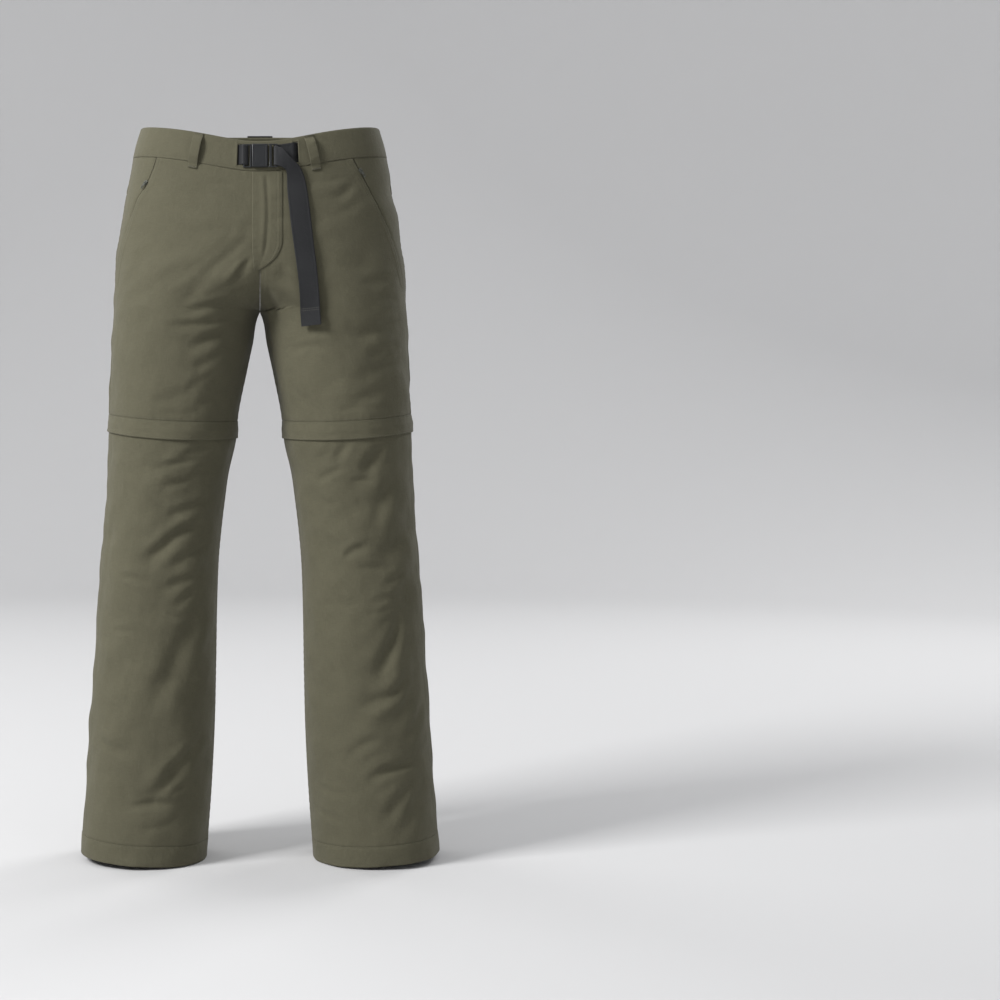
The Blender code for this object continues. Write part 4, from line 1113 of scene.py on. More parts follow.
for word, side in SIDES.items():
    angles, places = ring_angles(FLAP_TOP, 2.7)
    down = run_of(FLAP_TOP - FLAP_BOTTOM, (0, 0.5, 1.2, 2.0, 2.8), (0, 0.4, 0.9, 1.6, 2.4, 3.2), 1.9)
    heights = (FLAP_TOP - down)[:, None] + 0 * angles
    share = down[:, None] / (FLAP_TOP - FLAP_BOTTOM)
    lift = 0.4 + 2.4 * share + pucker(places[None, :], down[:, None], 6.0)
    lift = lift + 0.5 * np.exp(-(((down[:, None] - 12) / 4) ** 2)) - 0.25 * np.exp(-(((down[:, None] - 2) / 0.7) ** 2))
    lift = lift - 0.5 * (1 - ease(down[:, None], 0, 0.8)) - 0.45 * (1 - ease(down[-1] - down[:, None], 0, 1.0))
    lift = lift + 0.35 * share * np.sin(places[None, :] / 19 + side) * np.sin(places[None, :] / 47)
    outer, normal = skin(side, heights, angles[None, :], lift)
    flap = make_cloth(f"knee_flap_{word}", outer, normal, 1.2, canvas, ring=True)
    closed = lambda pair: (np.concatenate([pair[0], pair[0][:1]]), np.concatenate([pair[1], pair[1][:1]]))
    sew(f"stitching_knee_flap_{word}", [closed(line_at(flap, row=3)), closed(line_at(flap, row=-4))])
    zip_rows = np.linspace(FLAP_TOP - 5, LOWER_TOP + 0.3, 7)
    lift = np.linspace(-0.9, -0.3, 7)[:, None]
    outer, normal = skin(side, zip_rows[:, None], angles[None, :], lift)
    make_cloth(f"knee_zip_{word}", outer, normal, 1.1, tape_cloth, ring=True)

    start, end = -180.0, 180.0
    if word == "right":
        middle = ankle_angle(HEM_BOTTOM)
        half = float(turn_for(slit_half(HEM_BOTTOM), HEM_BOTTOM, middle))
        start, end = middle + half - 360.0, middle - half
    angles, places = ring_angles(HEM_BOTTOM, 2.5, start, end)
    down = run_of(HEM_TOP - HEM_BOTTOM, (0, 0.5, 1.2, 2.0, 2.8, 4.0), (0, 0.4, 0.9, 1.6, 2.6), 2.2)
    heights = (HEM_TOP - down)[:, None] + 0 * angles
    slant = places[None, :] + 0.7 * down[:, None]
    rope = np.sin(2 * math.pi * slant / 9.6 + 1.5 * np.sin(slant / 29)) * (0.6 + 0.4 * np.sin(slant / 37))
    lift = 0.6 + 0.26 * rope * np.exp(-(((down[:, None] - 5) / 9) ** 2)) + 0 * heights
    lift = lift - 0.3 * np.exp(-(((down[:, None] - 2) / 0.8) ** 2)) - 0.6 * (1 - ease(down[:, None], 0, 0.9))
    lift = lift - 0.8 * (1 - ease(down[-1] - down[:, None], 0, 1.3))
    outer, normal = skin(side, heights, angles[None, :], lift)
    wear = 0.8 * np.exp(-(((down[-1] - down[:, None]) / 1.3) ** 2)) + 0 * heights
    hem = make_cloth(f"hem_{word}", outer, normal, 2.2, canvas, ring=word == "left", wear=wear)
    lines = [line_at(hem, row=3)]
    if word == "left":
        lines = [closed(line) for line in lines]
    sew(f"stitching_hem_{word}", lines)

# Waistband
# Two layers of canvas in one ring, folded over at the top and stitched along both edges.
# Two upright slots beside the buckle let the belt out from inside, and their lips stand up a little.
SLOTS = {1: (45.8, 52.8), -1: (24.4, 31.0)}
SLOT_HALF_HEIGHT = 14.8
BAND_CLOTH = 2.4
BAND_LIFT = 0.8


def band_turns(side):
    """Turns from the front middle to the back middle, close together beside the slot."""
    fine = np.linspace(-90, 90, 721)
    points = plain(BAND_MIDDLE + 0 * fine, fine)
    run = np.concatenate([[0], np.cumsum(np.linalg.norm(np.diff(points, axis=0), axis=1))])
    edges = np.interp([spot(np.array(x), BELT_HEIGHT, False)[1] for x in SLOTS[side]], fine, run)
    edges = np.sort(edges)
    places = np.linspace(0, run[-1], 180)
    marks = np.concatenate([edges[:1] + np.array([-4, -2.4, -1.2, -0.5, 0]), edges[1:] + np.array([0, 0.5, 1.2, 2.4, 4])])
    far = np.abs(places[:, None] - marks).min(1) > 1.0
    inside = (places > edges[0] - 4) & (places < edges[1] + 4)
    places = np.sort(np.concatenate([places[far & ~inside], marks, [edges.mean()]]))
    return np.interp(places, run, fine), places, edges


rows = run_of(BAND_TOP - BAND_BOTTOM, (0, 0.3, 0.7, 1.2, 2.0, 2.8, 4.4), (0, 0.4, 0.9, 2.0, 2.9), 2.3)
slot_rows = np.array([BAND_TOP - BAND_MIDDLE - SLOT_HALF_HEIGHT, BAND_TOP - BAND_MIDDLE + SLOT_HALF_HEIGHT])
rows = np.sort(np.concatenate([rows[np.abs(rows[:, None] - slot_rows).min(1) > 0.6], slot_rows]))
halves = {}
for side in (1, -1):
    angles, places, edges = band_turns(side)
    heights = (BAND_TOP - rows)[:, None] + 0 * angles
    from_top, from_foot = rows[:, None] + 0 * angles, rows[-1] - rows[:, None] + 0 * angles
    lift = BAND_LIFT - 1.0 * (1 - ease(from_top, 0, 1.5)) - 0.5 * (1 - ease(from_foot, 0, 0.9))
    lift = lift - 0.2 * np.exp(-(((from_top - 2.0) / 0.7) ** 2)) - 0.2 * np.exp(-(((from_foot - 2.0) / 0.7) ** 2))
    lift = lift + pucker(places, from_top, 8.0) * ease(places, 62, 75)
    lift = lift + pucker(places + 5, from_foot, 8.0) * ease(places, 62, 75)
    lift = lift + 0.3 * np.sin(places / 15 + 0.7 * side) * np.sin(places / 37) * ease(places, 62, 90)
    beside = np.minimum(np.abs(places - edges[0]), np.abs(places - edges[1]))
    outside = (places < edges[0] + 0.01) | (places > edges[1] - 0.01)
    tall = 1 - ease(np.abs(heights - BAND_MIDDLE), SLOT_HALF_HEIGHT, SLOT_HALF_HEIGHT + 3)
    lip = np.exp(-((beside / 2.6) ** 2)) * (1 - 0.8 * np.exp(-((beside / 0.5) ** 2)))
    lift = lift + 0.7 * lip * tall * outside * (places > 30)
    thickness = BAND_CLOTH * (0.3 + 0.7 * ease(from_top, 0, 1.6))
    outer, normal = skin(side, heights, angles, lift, creased=False)
    inner = outer - normal * thickness[..., None]
    inside = (rows[:-1, None] > slot_rows[0] - 0.01) & (rows[1:, None] < slot_rows[1] + 0.01)
    cut = inside & (places[None, :-1] > edges[0] - 0.01) & (places[None, 1:] < edges[1] + 0.01)
    halves[side] = (outer, normal, inner, ~cut)
left, right = halves[1], halves[-1]
joined = [np.concatenate([left[k], right[k][:, -2:0:-1]], 1) for k in range(3)]
gap = np.ones((len(rows) - 1, 1), bool)
keep = np.concatenate([left[3], right[3][:, ::-1]], 1)
outer, normal, inner = joined
flat = unrolled(outer)
waistband = mesh_of("cloth_waistband", outer, inner, flat, ring=True, keep=keep)
waistband.data.materials.append(canvas)
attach(waistband, "trousers")
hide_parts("waistband")
ring_rows = [np.concatenate([part[row], part[row][:1]]) for row in (4, -4) for part in (outer, normal)]
sew("stitching_waistband", [(ring_rows[0], ring_rows[1]), (ring_rows[2], ring_rows[3])])

# Fly
# The fly's top layer is a second canvas panel on the wearer's left front, with a folded edge on the middle.
# Two rows of stitches follow its curved foot, and the cloth puckers between them and the zip inside.
FLY_ROWS = np.array(
    [
        (-43.8, -11, 30.5), (-75, -11, 30.5), (-107, -11, 30.5), (-139, -11, 30.5), (-149, -11, 28.4),
        (-159, -10.5, 23.5), (-168, -9.5, 15.2), (-175.5, -8.5, 4.5), (-179, -8, -3),
    ],
    float,
)


def on_face(x, z, lift, back=False, creased=True):
    """Points of the cloth given by x and height, and the way out of it."""
    x, z, lift = np.broadcast_arrays(np.asarray(x, float), np.asarray(z, float), np.asarray(lift, float))
    height, angle = spot(np.abs(x), z, back)
    left_points, left_ways = skin(1, height, angle, lift, creased)
    right_points, right_ways = skin(-1, height, angle, lift, creased)
    beyond = (x >= 0)[..., None]
    return np.where(beyond, left_points, right_points), np.where(beyond, left_ways, right_ways)


down = run_of(135.2, (0, 0.6, 1.6, 3.2), (0, 0.5, 1.2, 2.2), 2.3)
z = -43.8 - down
left_edge, right_edge = (np.interp(-z, -FLY_ROWS[:, 0], FLY_ROWS[:, k]) for k in (1, 2))
right_edge = np.where(z < -139, read(FLY_ROWS, z, 2), right_edge)
share = run_of(41.5, (0, 0.5, 1.1, 2.0, 3.2, 5.0), (0, 0.5, 1.2, 2.0, 2.8, 4.0, 5.4, 6.8, 7.6, 8.4, 10), 1.9) / 41.5
x = left_edge[:, None] + (right_edge - left_edge)[:, None] * share
z = z[:, None] + 0 * x
from_left, from_right = share * 41.5 + 0 * x, (1 - share) * 41.5 + 0 * x
closing = ease(-z, 168, 179)
lift = 1.55 - 0.55 * (1 - ease(from_left, 0, 1.2)) - 0.6 * (1 - ease(from_right, 0, 1.2))
lift = lift + 0.35 * np.exp(-(((from_right - 4.6) / 1.5) ** 2)) * (1 - closing)
for row in (2.0, 6.8):
    lift = lift - 0.22 * np.exp(-(((from_right - row) / 0.8) ** 2))
lift = lift - 1.2 * np.exp(-(((from_left - 20.5 - 1.5 * np.sin(z / 21)) / 2.2) ** 2)) * ease(-z, 44, 56) * (1 - ease(-z, 150, 172))
lift = lift + 0.8 * np.exp(-(((from_left - 15.0 - 1.5 * np.sin(z / 21)) / 3.2) ** 2)) * ease(-z, 44, 60) * (1 - ease(-z, 140, 165))
slant = z + 0.55 * x
ripple = np.sin(2 * math.pi * slant / 11.5 + 1.2 * np.sin(slant / 31)) * (0.6 + 0.4 * np.sin(slant / 23))
lift = lift + 0.36 * ripple * np.exp(-(((from_right - 9) / 6) ** 2)) * (1 - closing)
lift = lift + pucker(z, from_left, 5.0) * 1.6
outer, normal = on_face(x, z, lift)
fly = make_cloth("fly", outer, normal, 1.2, canvas)
lines = [line_at(fly, column=-4), line_at(fly, column=-8, keep=z[:, 0] > -172), line_at(fly, column=2)]
sew("stitching_fly", lines)

# Back pocket welts
# The top lips of two zipped back pockets, folded strips stitched into the yoke seam.
# Bar tacks hold both ends of each strip.
welt_start = float(spot(np.array(59.0), np.array(-60.0), True)[1])
tacks = []
for word, side in SIDES.items():
    angles, places = [], []
    fine = np.linspace(welt_start, 6.0, 241)
    base = plain(yoke_height(fine) - 0.3, fine)
    run = np.concatenate([[0], np.cumsum(np.linalg.norm(np.diff(base, axis=0), axis=1))])
    places = run_of(run[-1], (0, 0.5, 1.2, 2.0, 3.0), (0, 0.5, 1.2, 2.0, 3.0), 2.6)
    angles = np.interp(places, run, fine)
    down = run_of(12.5, (0, 0.5, 1.2, 2.0, 3.0), (0, 0.4, 0.9, 1.8, 2.8), 1.6)
    heights = yoke_height(angles) - 0.3 - down[:, None]
    lift = 1.7 - 0.5 * (1 - ease(down[:, None], 0, 0.9)) + 0 * heights
    lift = lift - 0.45 * (1 - ease(down[-1] - down[:, None], 0, 1.0))
    lift = lift - 0.5 * (1 - ease(places, 0, 1.2)) - 0.5 * (1 - ease(run[-1] - places, 0, 1.2))
    lift = lift - 0.22 * np.exp(-(((down[:, None] - 2.0) / 0.7) ** 2))
    lift = lift + pucker(places, down[:, None], 9.0)
    outer, normal = skin(side, heights, angles, lift)
    welt = make_cloth(f"back_welt_{word}", outer, normal, 1.1, canvas)
    sew(
        f"stitching_back_welt_{word}",
        [line_at(welt, row=3), line_at(welt, row=-4), line_at(welt, column=3), line_at(welt, column=-4)],
    )
    for column in (2, 3, -4, -3):
        tacks.append(line_at(welt, column=column))
sew("bar_tacks_back_welts", tacks, pitch=0.8, length=2.6, width=0.5, high=0.45)

# Belt loops
# Six folded canvas strips over the waistband, stitched along both edges and tacked down at both ends.
# Between the tacks they stand off the band, and the belt runs inside it.
LOOP_PATH = np.array(
    [(1, 2.6), (5, 2.7), (8.5, 5.6), (14, 7.5), (24, 7.8), (34, 7.0), (40.5, 4.6), (44.5, 2.4), (50, 1.8)], float
)
LOOPS = (
    ("belt_loop_front_right", False, -86, -91.5), ("belt_loop_front_left", False, 68, 76),
    ("belt_loop_side_right", True, -155, -157), ("belt_loop_side_left", True, 155, 157),
    ("belt_loop_back_right", True, -28, -28), ("belt_loop_back_left", True, 28, 28),
)
tacks = []
for number, (name, behind, top, bottom) in enumerate(LOOPS):
    side = 1 if top > 0 else -1
    down = 1 + run_of(49, (0, 0.5, 1.3, 2.2), (0, 0.5, 1.3, 2.2), 1.25)
    out = np.abs(top + (bottom - top) * down / 50)
    _, middle = spot(out, np.full_like(out, BELT_HEIGHT), behind)
    heights = BAND_TOP - down
    across = np.concatenate([[-6.5, -6.2, -5.6], np.linspace(-4.9, 4.9, 13), [5.6, 6.2, 6.5]])
    angles = middle[:, None] + turn_for(1.0, heights, middle)[:, None] * across
    edge = 6.5 - np.abs(across)
    lift = np.interp(down, LOOP_PATH[:, 0], LOOP_PATH[:, 1])
    smooth = read(LOOP_PATH, down, 1)
    lift = (0.3 * lift + 0.7 * smooth)[:, None] + 0 * angles
    lift = lift - 0.4 * (1 - ease(edge, 0, 0.8)) - 0.2 * np.exp(-(((edge - 1.4) / 0.6) ** 2))
    lift = lift + 0.16 * np.sin(down[:, None] / 2.1 + across / 3 + number) * np.sin(down[:, None] / 9)
    outer, normal = skin(side, heights[:, None], angles, lift, creased=False)
    loop = make_cloth(name, outer, normal, 1.3, canvas)
    sew("stitching_" + name, [line_at(loop, column=2), line_at(loop, column=-3)])
    for row in (1, 2, 3, -4, -3, -2):
        tacks.append(line_at(loop, row=row))
sew("bar_tacks_belt_loops", tacks, pitch=0.9, length=2.2, width=0.5, high=0.5)

# Ankle zip tape
# The zip's woven tape lies behind the slit, and its coil runs down the middle.
# The slit is open here only as far as the cloth gapes, with the slider at the hem.
tape_heights = -715 - run_of(277, (0, 0.6, 1.4), (0, 0.6, 1.4), 3.2)
middle = ankle_angle(tape_heights)
across = np.array([-6.5, -6.1, -5.2, -4, -2.8, -2.0, -1.3, -0.7, 0, 0.7, 1.3, 2.0, 2.8, 4, 5.2, 6.1, 6.5])
angles = middle[:, None] + turn_for(1.0, tape_heights, middle)[:, None] * across
lift = -2.4 + 0.45 * np.exp(-((across / 1.6) ** 2)) - 0.25 * (1 - ease(6.5 - np.abs(across), 0, 0.6))
outer, normal = skin(-1, tape_heights[:, None], angles, lift)
ankle_tape = make_cloth("ankle_zip", outer, normal, 1.1, tape_cloth)

# Belt webbing
# Slate nylon webbing, woven in ribs along its length with a smooth thicker edge on both sides.
# The loose end comes out of the buckle's ladder, turns down and hangs over the front.
BELT_HALF = 13.75
WEBBING = 1.4


def webbing_material(name, colour):
    """Tight nylon webbing: ribs along the strap, crossed by fine picks, with a faint gloss."""
    material, shader, start = new_material(
        name, colour, 0.62, Specular_IOR_Level=0.32, Sheen_Weight=0.04, Sheen_Roughness=0.4
    )
    place = start.node("ShaderNodeUVMap", settings={"uv_map": "cloth"})
    split = place.tree.nodes.new("ShaderNodeSeparateXYZ")
    place.tree.links.new(place.socket, split.inputs[0])
    u, v = Shade(place.tree, split.outputs[0]), Shade(place.tree, split.outputs[1])
    rib = (u * (math.pi / 0.00075)).math("SINE").math("ABSOLUTE")
    pick = (v * (math.pi / 0.0009)).math("SINE")
    streak = start.node("ShaderNodeCombineXYZ", X=u * 900, Y=v * 40)
    uneven = start.node("ShaderNodeTexNoise", Vector=streak, Scale=1.0, Detail=3.0)
    tone = (uneven - 0.5) * 0.5 + rib * 0.22 + pick * 0.10 + 0.9
    scaled = start.node("ShaderNodeVectorMath", settings={"operation": "SCALE"}, Vector=colour, Scale=tone)
    scaled.tree.links.new(scaled.socket, shader.inputs["Base Color"])
    bump = start.node("ShaderNodeBump", Strength=1.0, Distance=0.00012, Height=rib * 0.8 + pick * 0.35 + uneven * 0.6)
    bump.tree.links.new(bump.socket, shader.inputs["Normal"])
    return material


webbing = webbing_material("slate webbing", (0.0075, 0.0080, 0.0092))
Station = namedtuple("Station", "low_x low_z low_lift high_x high_z high_lift")


def band_run(pairs):
    """Stations of a strap along the middle of the band, from pairs of x and lift."""
    stations = []
    for x, lift in pairs:
        _, angle = spot(np.array(abs(x), float), np.array(BELT_HEIGHT), False)
        middle = float(level(BAND_MIDDLE, angle))
        stations.append((x, middle - BELT_HALF, lift, x, middle + BELT_HALF, lift))
    return stations


def make_webbing(node, stations, creased=False, hem=False):
    """A strap through its stations, with rounded edges and a rib down each side."""
    table = np.c_[np.arange(len(stations)), np.array(stations, float)]
    stops = np.linspace(0, len(stations) - 1, (len(stations) - 1) * 24 + 1)
    fine = Station(*(read(table, stops, k) for k in range(1, 7)))
    middle = np.stack([(fine.low_x + fine.high_x) / 2, (fine.low_z + fine.high_z) / 2, (fine.low_lift + fine.high_lift) / 2], 1)
    run = np.concatenate([[0], np.cumsum(np.linalg.norm(np.diff(middle, axis=0), axis=1))])
    places = run_of(run[-1], (0, 0.5), (0, 0.5), 1.6)
    at = np.interp(places, run, stops)
    s = Station(*(read(table, at, k)[:, None] for k in range(1, 7)))
    share = np.array([0, 0.012, 0.035, 0.07, 0.11, 0.15, 0.24, 0.33, 0.42, 0.5, 0.58, 0.67, 0.76, 0.85, 0.89, 0.93, 0.965, 0.988, 1])
    edge = (0.5 - np.abs(share - 0.5)) * 27.5
    lift = s.low_lift + (s.high_lift - s.low_lift) * share + WEBBING / 2
    lift = lift - 0.35 * (1 - ease(edge, 0, 0.7)) + 0.12 * np.exp(-(((edge - 1.5) / 1.1) ** 2))
    lift = lift - 0.14 * np.exp(-(((edge - 3.4) / 0.7) ** 2))
    if hem:
        lift = lift + 0.3 * ease(places, run[-1] - 24, run[-1] - 22)[:, None]
        lift = lift - 0.25 * np.exp(-(((places - run[-1] + 21) / 0.9) ** 2))[:, None]
    x = s.low_x + (s.high_x - s.low_x) * share
    z = s.low_z + (s.high_z - s.low_z) * share
    outer, normal = on_face(x, z, lift, creased=creased)
    return make_cloth(node, outer, normal, WEBBING, webbing)


RIGHT_RUN = (
    (-38, -3), (-34, -3), (-31, -3), (-27.4, 0.7), (-24.6, 3.9),
    (-22.6, 4.5), (-21.2, 4.5), (-19.6, 4.3), (-17.6, 3.6), (-15.8, 2.3),
)
LEFT_RUN = ((60, -3), (56, -3), (52.8, -3), (49.3, -0.4), (46, 2.1), (42, 2.1), (34, 2.0), (26, 2.0), (18.4, 2.0))
TAIL = (
    (18.9, -36, 4.9, 18.9, -9.4, 4.9), (21.2, -36, 6.4, 21.2, -9.4, 6.4), (25.3, -37, 6.9, 25.3, -10.6, 7.2),
    (31.2, -39.4, 7.0, 30.7, -13.1, 9.0), (35.3, -43.1, 6.2, 37.5, -20.8, 9.6), (36.6, -49.2, 5.2, 45, -29, 8.8),
    (36.9, -58.8, 3.8, 53.9, -38.3, 6.8), (37.3, -70, 3.0, 60.7, -53.5, 4.6), (39.2, -89, 2.6, 65.4, -78, 3.4),
    (42.3, -117.5, 2.6, 69.2, -108.5, 3.0), (46.4, -147.5, 3.2, 73, -142.5, 3.8), (51.3, -181.7, 4.2, 77.5, -178.9, 5.4),
    (56, -217.2, 5.6, 81.6, -215.8, 7.4), (60.3, -254.8, 7.6, 85.6, -251.7, 10.0),
)
make_webbing("belt_right", band_run(RIGHT_RUN))
make_webbing("belt_left", band_run(LEFT_RUN))
tail = make_webbing("belt_tail", TAIL, hem=True)
along = np.cumsum(np.linalg.norm(np.diff(tail.outer[:, 9], axis=0), axis=1))
hem_rows = [int(np.argmax(along > along[-1] - back)) for back in (20.5, 23.0)]
sew("stitching_belt_tail", [line_at(tail, row=row) for row in hem_rows])

# Belt behind the back
# The belt shows again at the centre back, between two loops, where it lies over the waistband.
# It is the same webbing, turned over at the top and stitched down.
down = run_of(41.5, (0, 0.5, 1.2, 2.0, 3.0), (0, 0.5, 1.2, 2.0, 3.0), 1.9)
across = run_of(36.8, (0, 0.5, 1.2, 2.0, 3.4), (0, 0.5, 1.2, 2.0, 3.4), 2.2) - 18.4
edge = 18.4 - np.abs(across)
lift = 2.5 - 0.4 * (1 - ease(edge, 0, 0.7)) - 0.4 * (1 - ease(down[:, None], 0, 0.9)) - 0.4 * (1 - ease(41.5 - down[:, None], 0, 0.9))
lift = lift + 0.1 * np.exp(-(((edge - 1.6) / 1.2) ** 2))
outer, normal = on_face(across + 0 * down[:, None], BAND_TOP + 4 - down[:, None], lift, back=True, creased=False)
patch = make_cloth("belt_back_patch", outer, normal, WEBBING, webbing)
sew("stitching_belt_back_patch", [line_at(patch, row=3), line_at(patch, row=-4)])

# Buckle
# Three black nylon mouldings lie flat on the band: a bar on the right-hand strap, a plate hooked over it,
# and a ladder of two bars that grips the loose end. All have rounded edges and a fine moulded grain.
BLACK = (0.0105, 0.0115, 0.0130)
moulded, moulded_shader, start = new_material("black nylon", BLACK, 0.4, Specular_IOR_Level=0.42)
body = start.node("ShaderNodeTexCoord", output="Object")
grain = start.node("ShaderNodeTexNoise", Vector=body, Scale=2600.0, Detail=2.0)
scuff = start.node("ShaderNodeTexNoise", Vector=body, Scale=160.0, Detail=4.0)
gloss = scuff * 0.22 + 0.30
gloss.tree.links.new(gloss.socket, moulded_shader.inputs["Roughness"])
bump = start.node("ShaderNodeBump", Strength=1.0, Distance=0.00004, Height=grain)
bump.tree.links.new(bump.socket, moulded_shader.inputs["Normal"])


def start_plate(name, x_lines, y_lines, holes=()):
    """A flat sheet cut along lines given in millimetres, with some of its cells taken out."""
    bpy.ops.object.select_all(action="DESELECT")
    bpy.ops.mesh.primitive_plane_add(size=2)
    piece = bpy.context.object
    piece.name = piece.data.name = name
    bpy.ops.object.mode_set(mode="EDIT")
    bpy.ops.transform.resize(value=((x_lines[-1] - x_lines[0]) / 2 * MM, (y_lines[-1] - y_lines[0]) / 2 * MM, 1))
    bpy.ops.transform.translate(value=((x_lines[-1] + x_lines[0]) / 2 * MM, (y_lines[-1] + y_lines[0]) / 2 * MM, 0))
    for lines, way in ((x_lines, (1, 0, 0)), (y_lines, (0, 1, 0))):
        for line in lines[1:-1]:
            bpy.ops.mesh.select_all(action="SELECT")
            bpy.ops.mesh.bisect(plane_co=[line * MM * part for part in way], plane_no=way)
    bpy.ops.mesh.select_all(action="DESELECT")
    bpy.ops.object.mode_set(mode="OBJECT")
    for face in piece.data.polygons:
        x, y = face.center.x / MM, face.center.y / MM
        cell = (int(np.searchsorted(y_lines, y)) - 1, int(np.searchsorted(x_lines, x)) - 1)
        face.select = cell in holes
    bpy.ops.object.mode_set(mode="EDIT")
    bpy.ops.mesh.select_mode(type="FACE")
    if holes:
        bpy.ops.mesh.delete(type="FACE")
    return piece


def thicken(low, high):
    """Raises the open sheet in edit mode into a plate between two heights."""
    bpy.ops.mesh.select_all(action="SELECT")
    bpy.ops.transform.translate(value=(0, 0, low * MM))
    bpy.ops.mesh.extrude_region_move(TRANSFORM_OT_translate={"value": (0, 0, (high - low) * MM)})
    bpy.ops.mesh.select_all(action="SELECT")
    bpy.ops.mesh.normals_make_consistent(inside=False)


def round_edges(width, segments=3):
    bpy.ops.mesh.select_mode(type="EDGE")
    bpy.ops.mesh.select_all(action="DESELECT")
    bpy.ops.mesh.edges_select_sharp(sharpness=math.radians(35))
    bpy.ops.mesh.bevel(offset=width * MM, segments=segments, affect="EDGES", clamp_overlap=True)
    bpy.ops.mesh.select_mode(type="FACE")


def local_frame(point, across, out):
    """Axes x across, y along the piece and z out of the cloth, in metres."""
    out = Vector(out).normalized()
    across = Vector(across)
    across = (across - out * across.dot(out)).normalized()
    matrix = Matrix((across, out.cross(across), out)).transposed().to_4x4()
    matrix.translation = Vector(point) * MM
    return matrix


def place_hard(piece, frame, material, body, node):
    """Moves a finished hard piece into place and hides the solid it replaces."""
    bpy.ops.object.mode_set(mode="OBJECT")
    piece.data.transform(frame)
    piece.data.materials.clear()
    piece.data.materials.append(material)
    bpy.ops.object.select_all(action="DESELECT")
    piece.select_set(True)
    bpy.context.view_layer.objects.active = piece
    bpy.ops.object.shade_smooth_by_angle(angle=math.radians(40))
    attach(piece, body)
    if node:
        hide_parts(node)
    return piece


TALL, RAIL = 16.2, 1.5
buckle_lines = [-TALL, RAIL - TALL, TALL - RAIL, TALL]
middle, _ = on_face(0.0, BELT_HEIGHT, BAND_LIFT, creased=False)
height, angle = spot(np.array(0.0), np.array(BELT_HEIGHT), False)
buckle_frame = local_frame(middle, (1, 0, 0), outward(height, angle))

bar = start_plate("buckle_bar", [-23.2, -19.8, -14.0, -11.6], buckle_lines, holes={(1, 1)})
thicken(0.45, 2.3)
round_edges(0.55)
place_hard(bar, buckle_frame, moulded, "trousers", "buckle_strap_bar")

cover = start_plate("buckle_cover", [-11.2, 10.7], [-TALL, TALL])
thicken(0.45, 5.6)
round_edges(1.5, 4)
bpy.ops.mesh.select_all(action="DESELECT")
bpy.ops.object.mode_set(mode="OBJECT")
for face in cover.data.polygons:
    face.select = face.normal.z > 0.99 and face.center.z > 5 * MM
bpy.ops.object.mode_set(mode="EDIT")
bpy.ops.mesh.inset(thickness=0.9 * MM, depth=0)
bpy.ops.mesh.inset(thickness=0.35 * MM, depth=-0.3 * MM)
bpy.ops.mesh.inset(thickness=2.6 * MM, depth=0)
bpy.ops.mesh.inset(thickness=3.0 * MM, depth=0.22 * MM)
place_hard(cover, buckle_frame, moulded, "trousers", "buckle_plate")

ladder = start_plate(
    "buckle_ladder_bars", [11.0, 12.8, 16.2, 21.0, 24.4], buckle_lines, holes={(1, 0), (1, 2)}
)
thicken(2.6, 4.6)
round_edges(0.7)
place_hard(ladder, buckle_frame, moulded, "trousers", "buckle_ladder")

# Zip sliders and pull tabs
# Each painted metal slider has narrow shoulders, a bridge on top and a flat tab with an eye at its end.
# The tab's pin turns in the bridge. The sliders stay where the photo has them.
painted, painted_shader, start = new_material("painted metal", (0.085, 0.088, 0.074), 0.42, Metallic=0.55)
body = start.node("ShaderNodeTexCoord", output="Object")
chips = start.node("ShaderNodeTexNoise", Vector=body, Scale=700.0, Detail=5.0, Roughness=0.7)
gloss = chips * 0.35 + 0.24
gloss.tree.links.new(gloss.socket, painted_shader.inputs["Roughness"])
SLIDER_HALF, SLIDER_LENGTH, SLIDER_HIGH = 2.3, 7.5, 2.2
TAB_HALF, TAB_EYE, TAB_LENGTH, TAB_THICK = 1.9, 0.9, 11.0, 1.1
HINGE = (0, -1.2, SLIDER_HIGH + 0.9)


def zip_frame(side, height, angle, high_along, angle_along, lift):
    """A frame on the cloth with y running down the zip."""
    height, angle = np.asarray(height, float), np.asarray(angle, float)
    point, _ = skin(side, height, angle, lift, creased=False)
    towards, _ = skin(side, np.asarray(high_along, float), np.asarray(angle_along, float), lift, creased=False)
    out = Vector(outward(height, angle) * np.array([side, 1, 1]))
    down = Vector(towards - point)
    down = (down - out * down.dot(out)).normalized()
    return local_frame(point, down.cross(out), out)


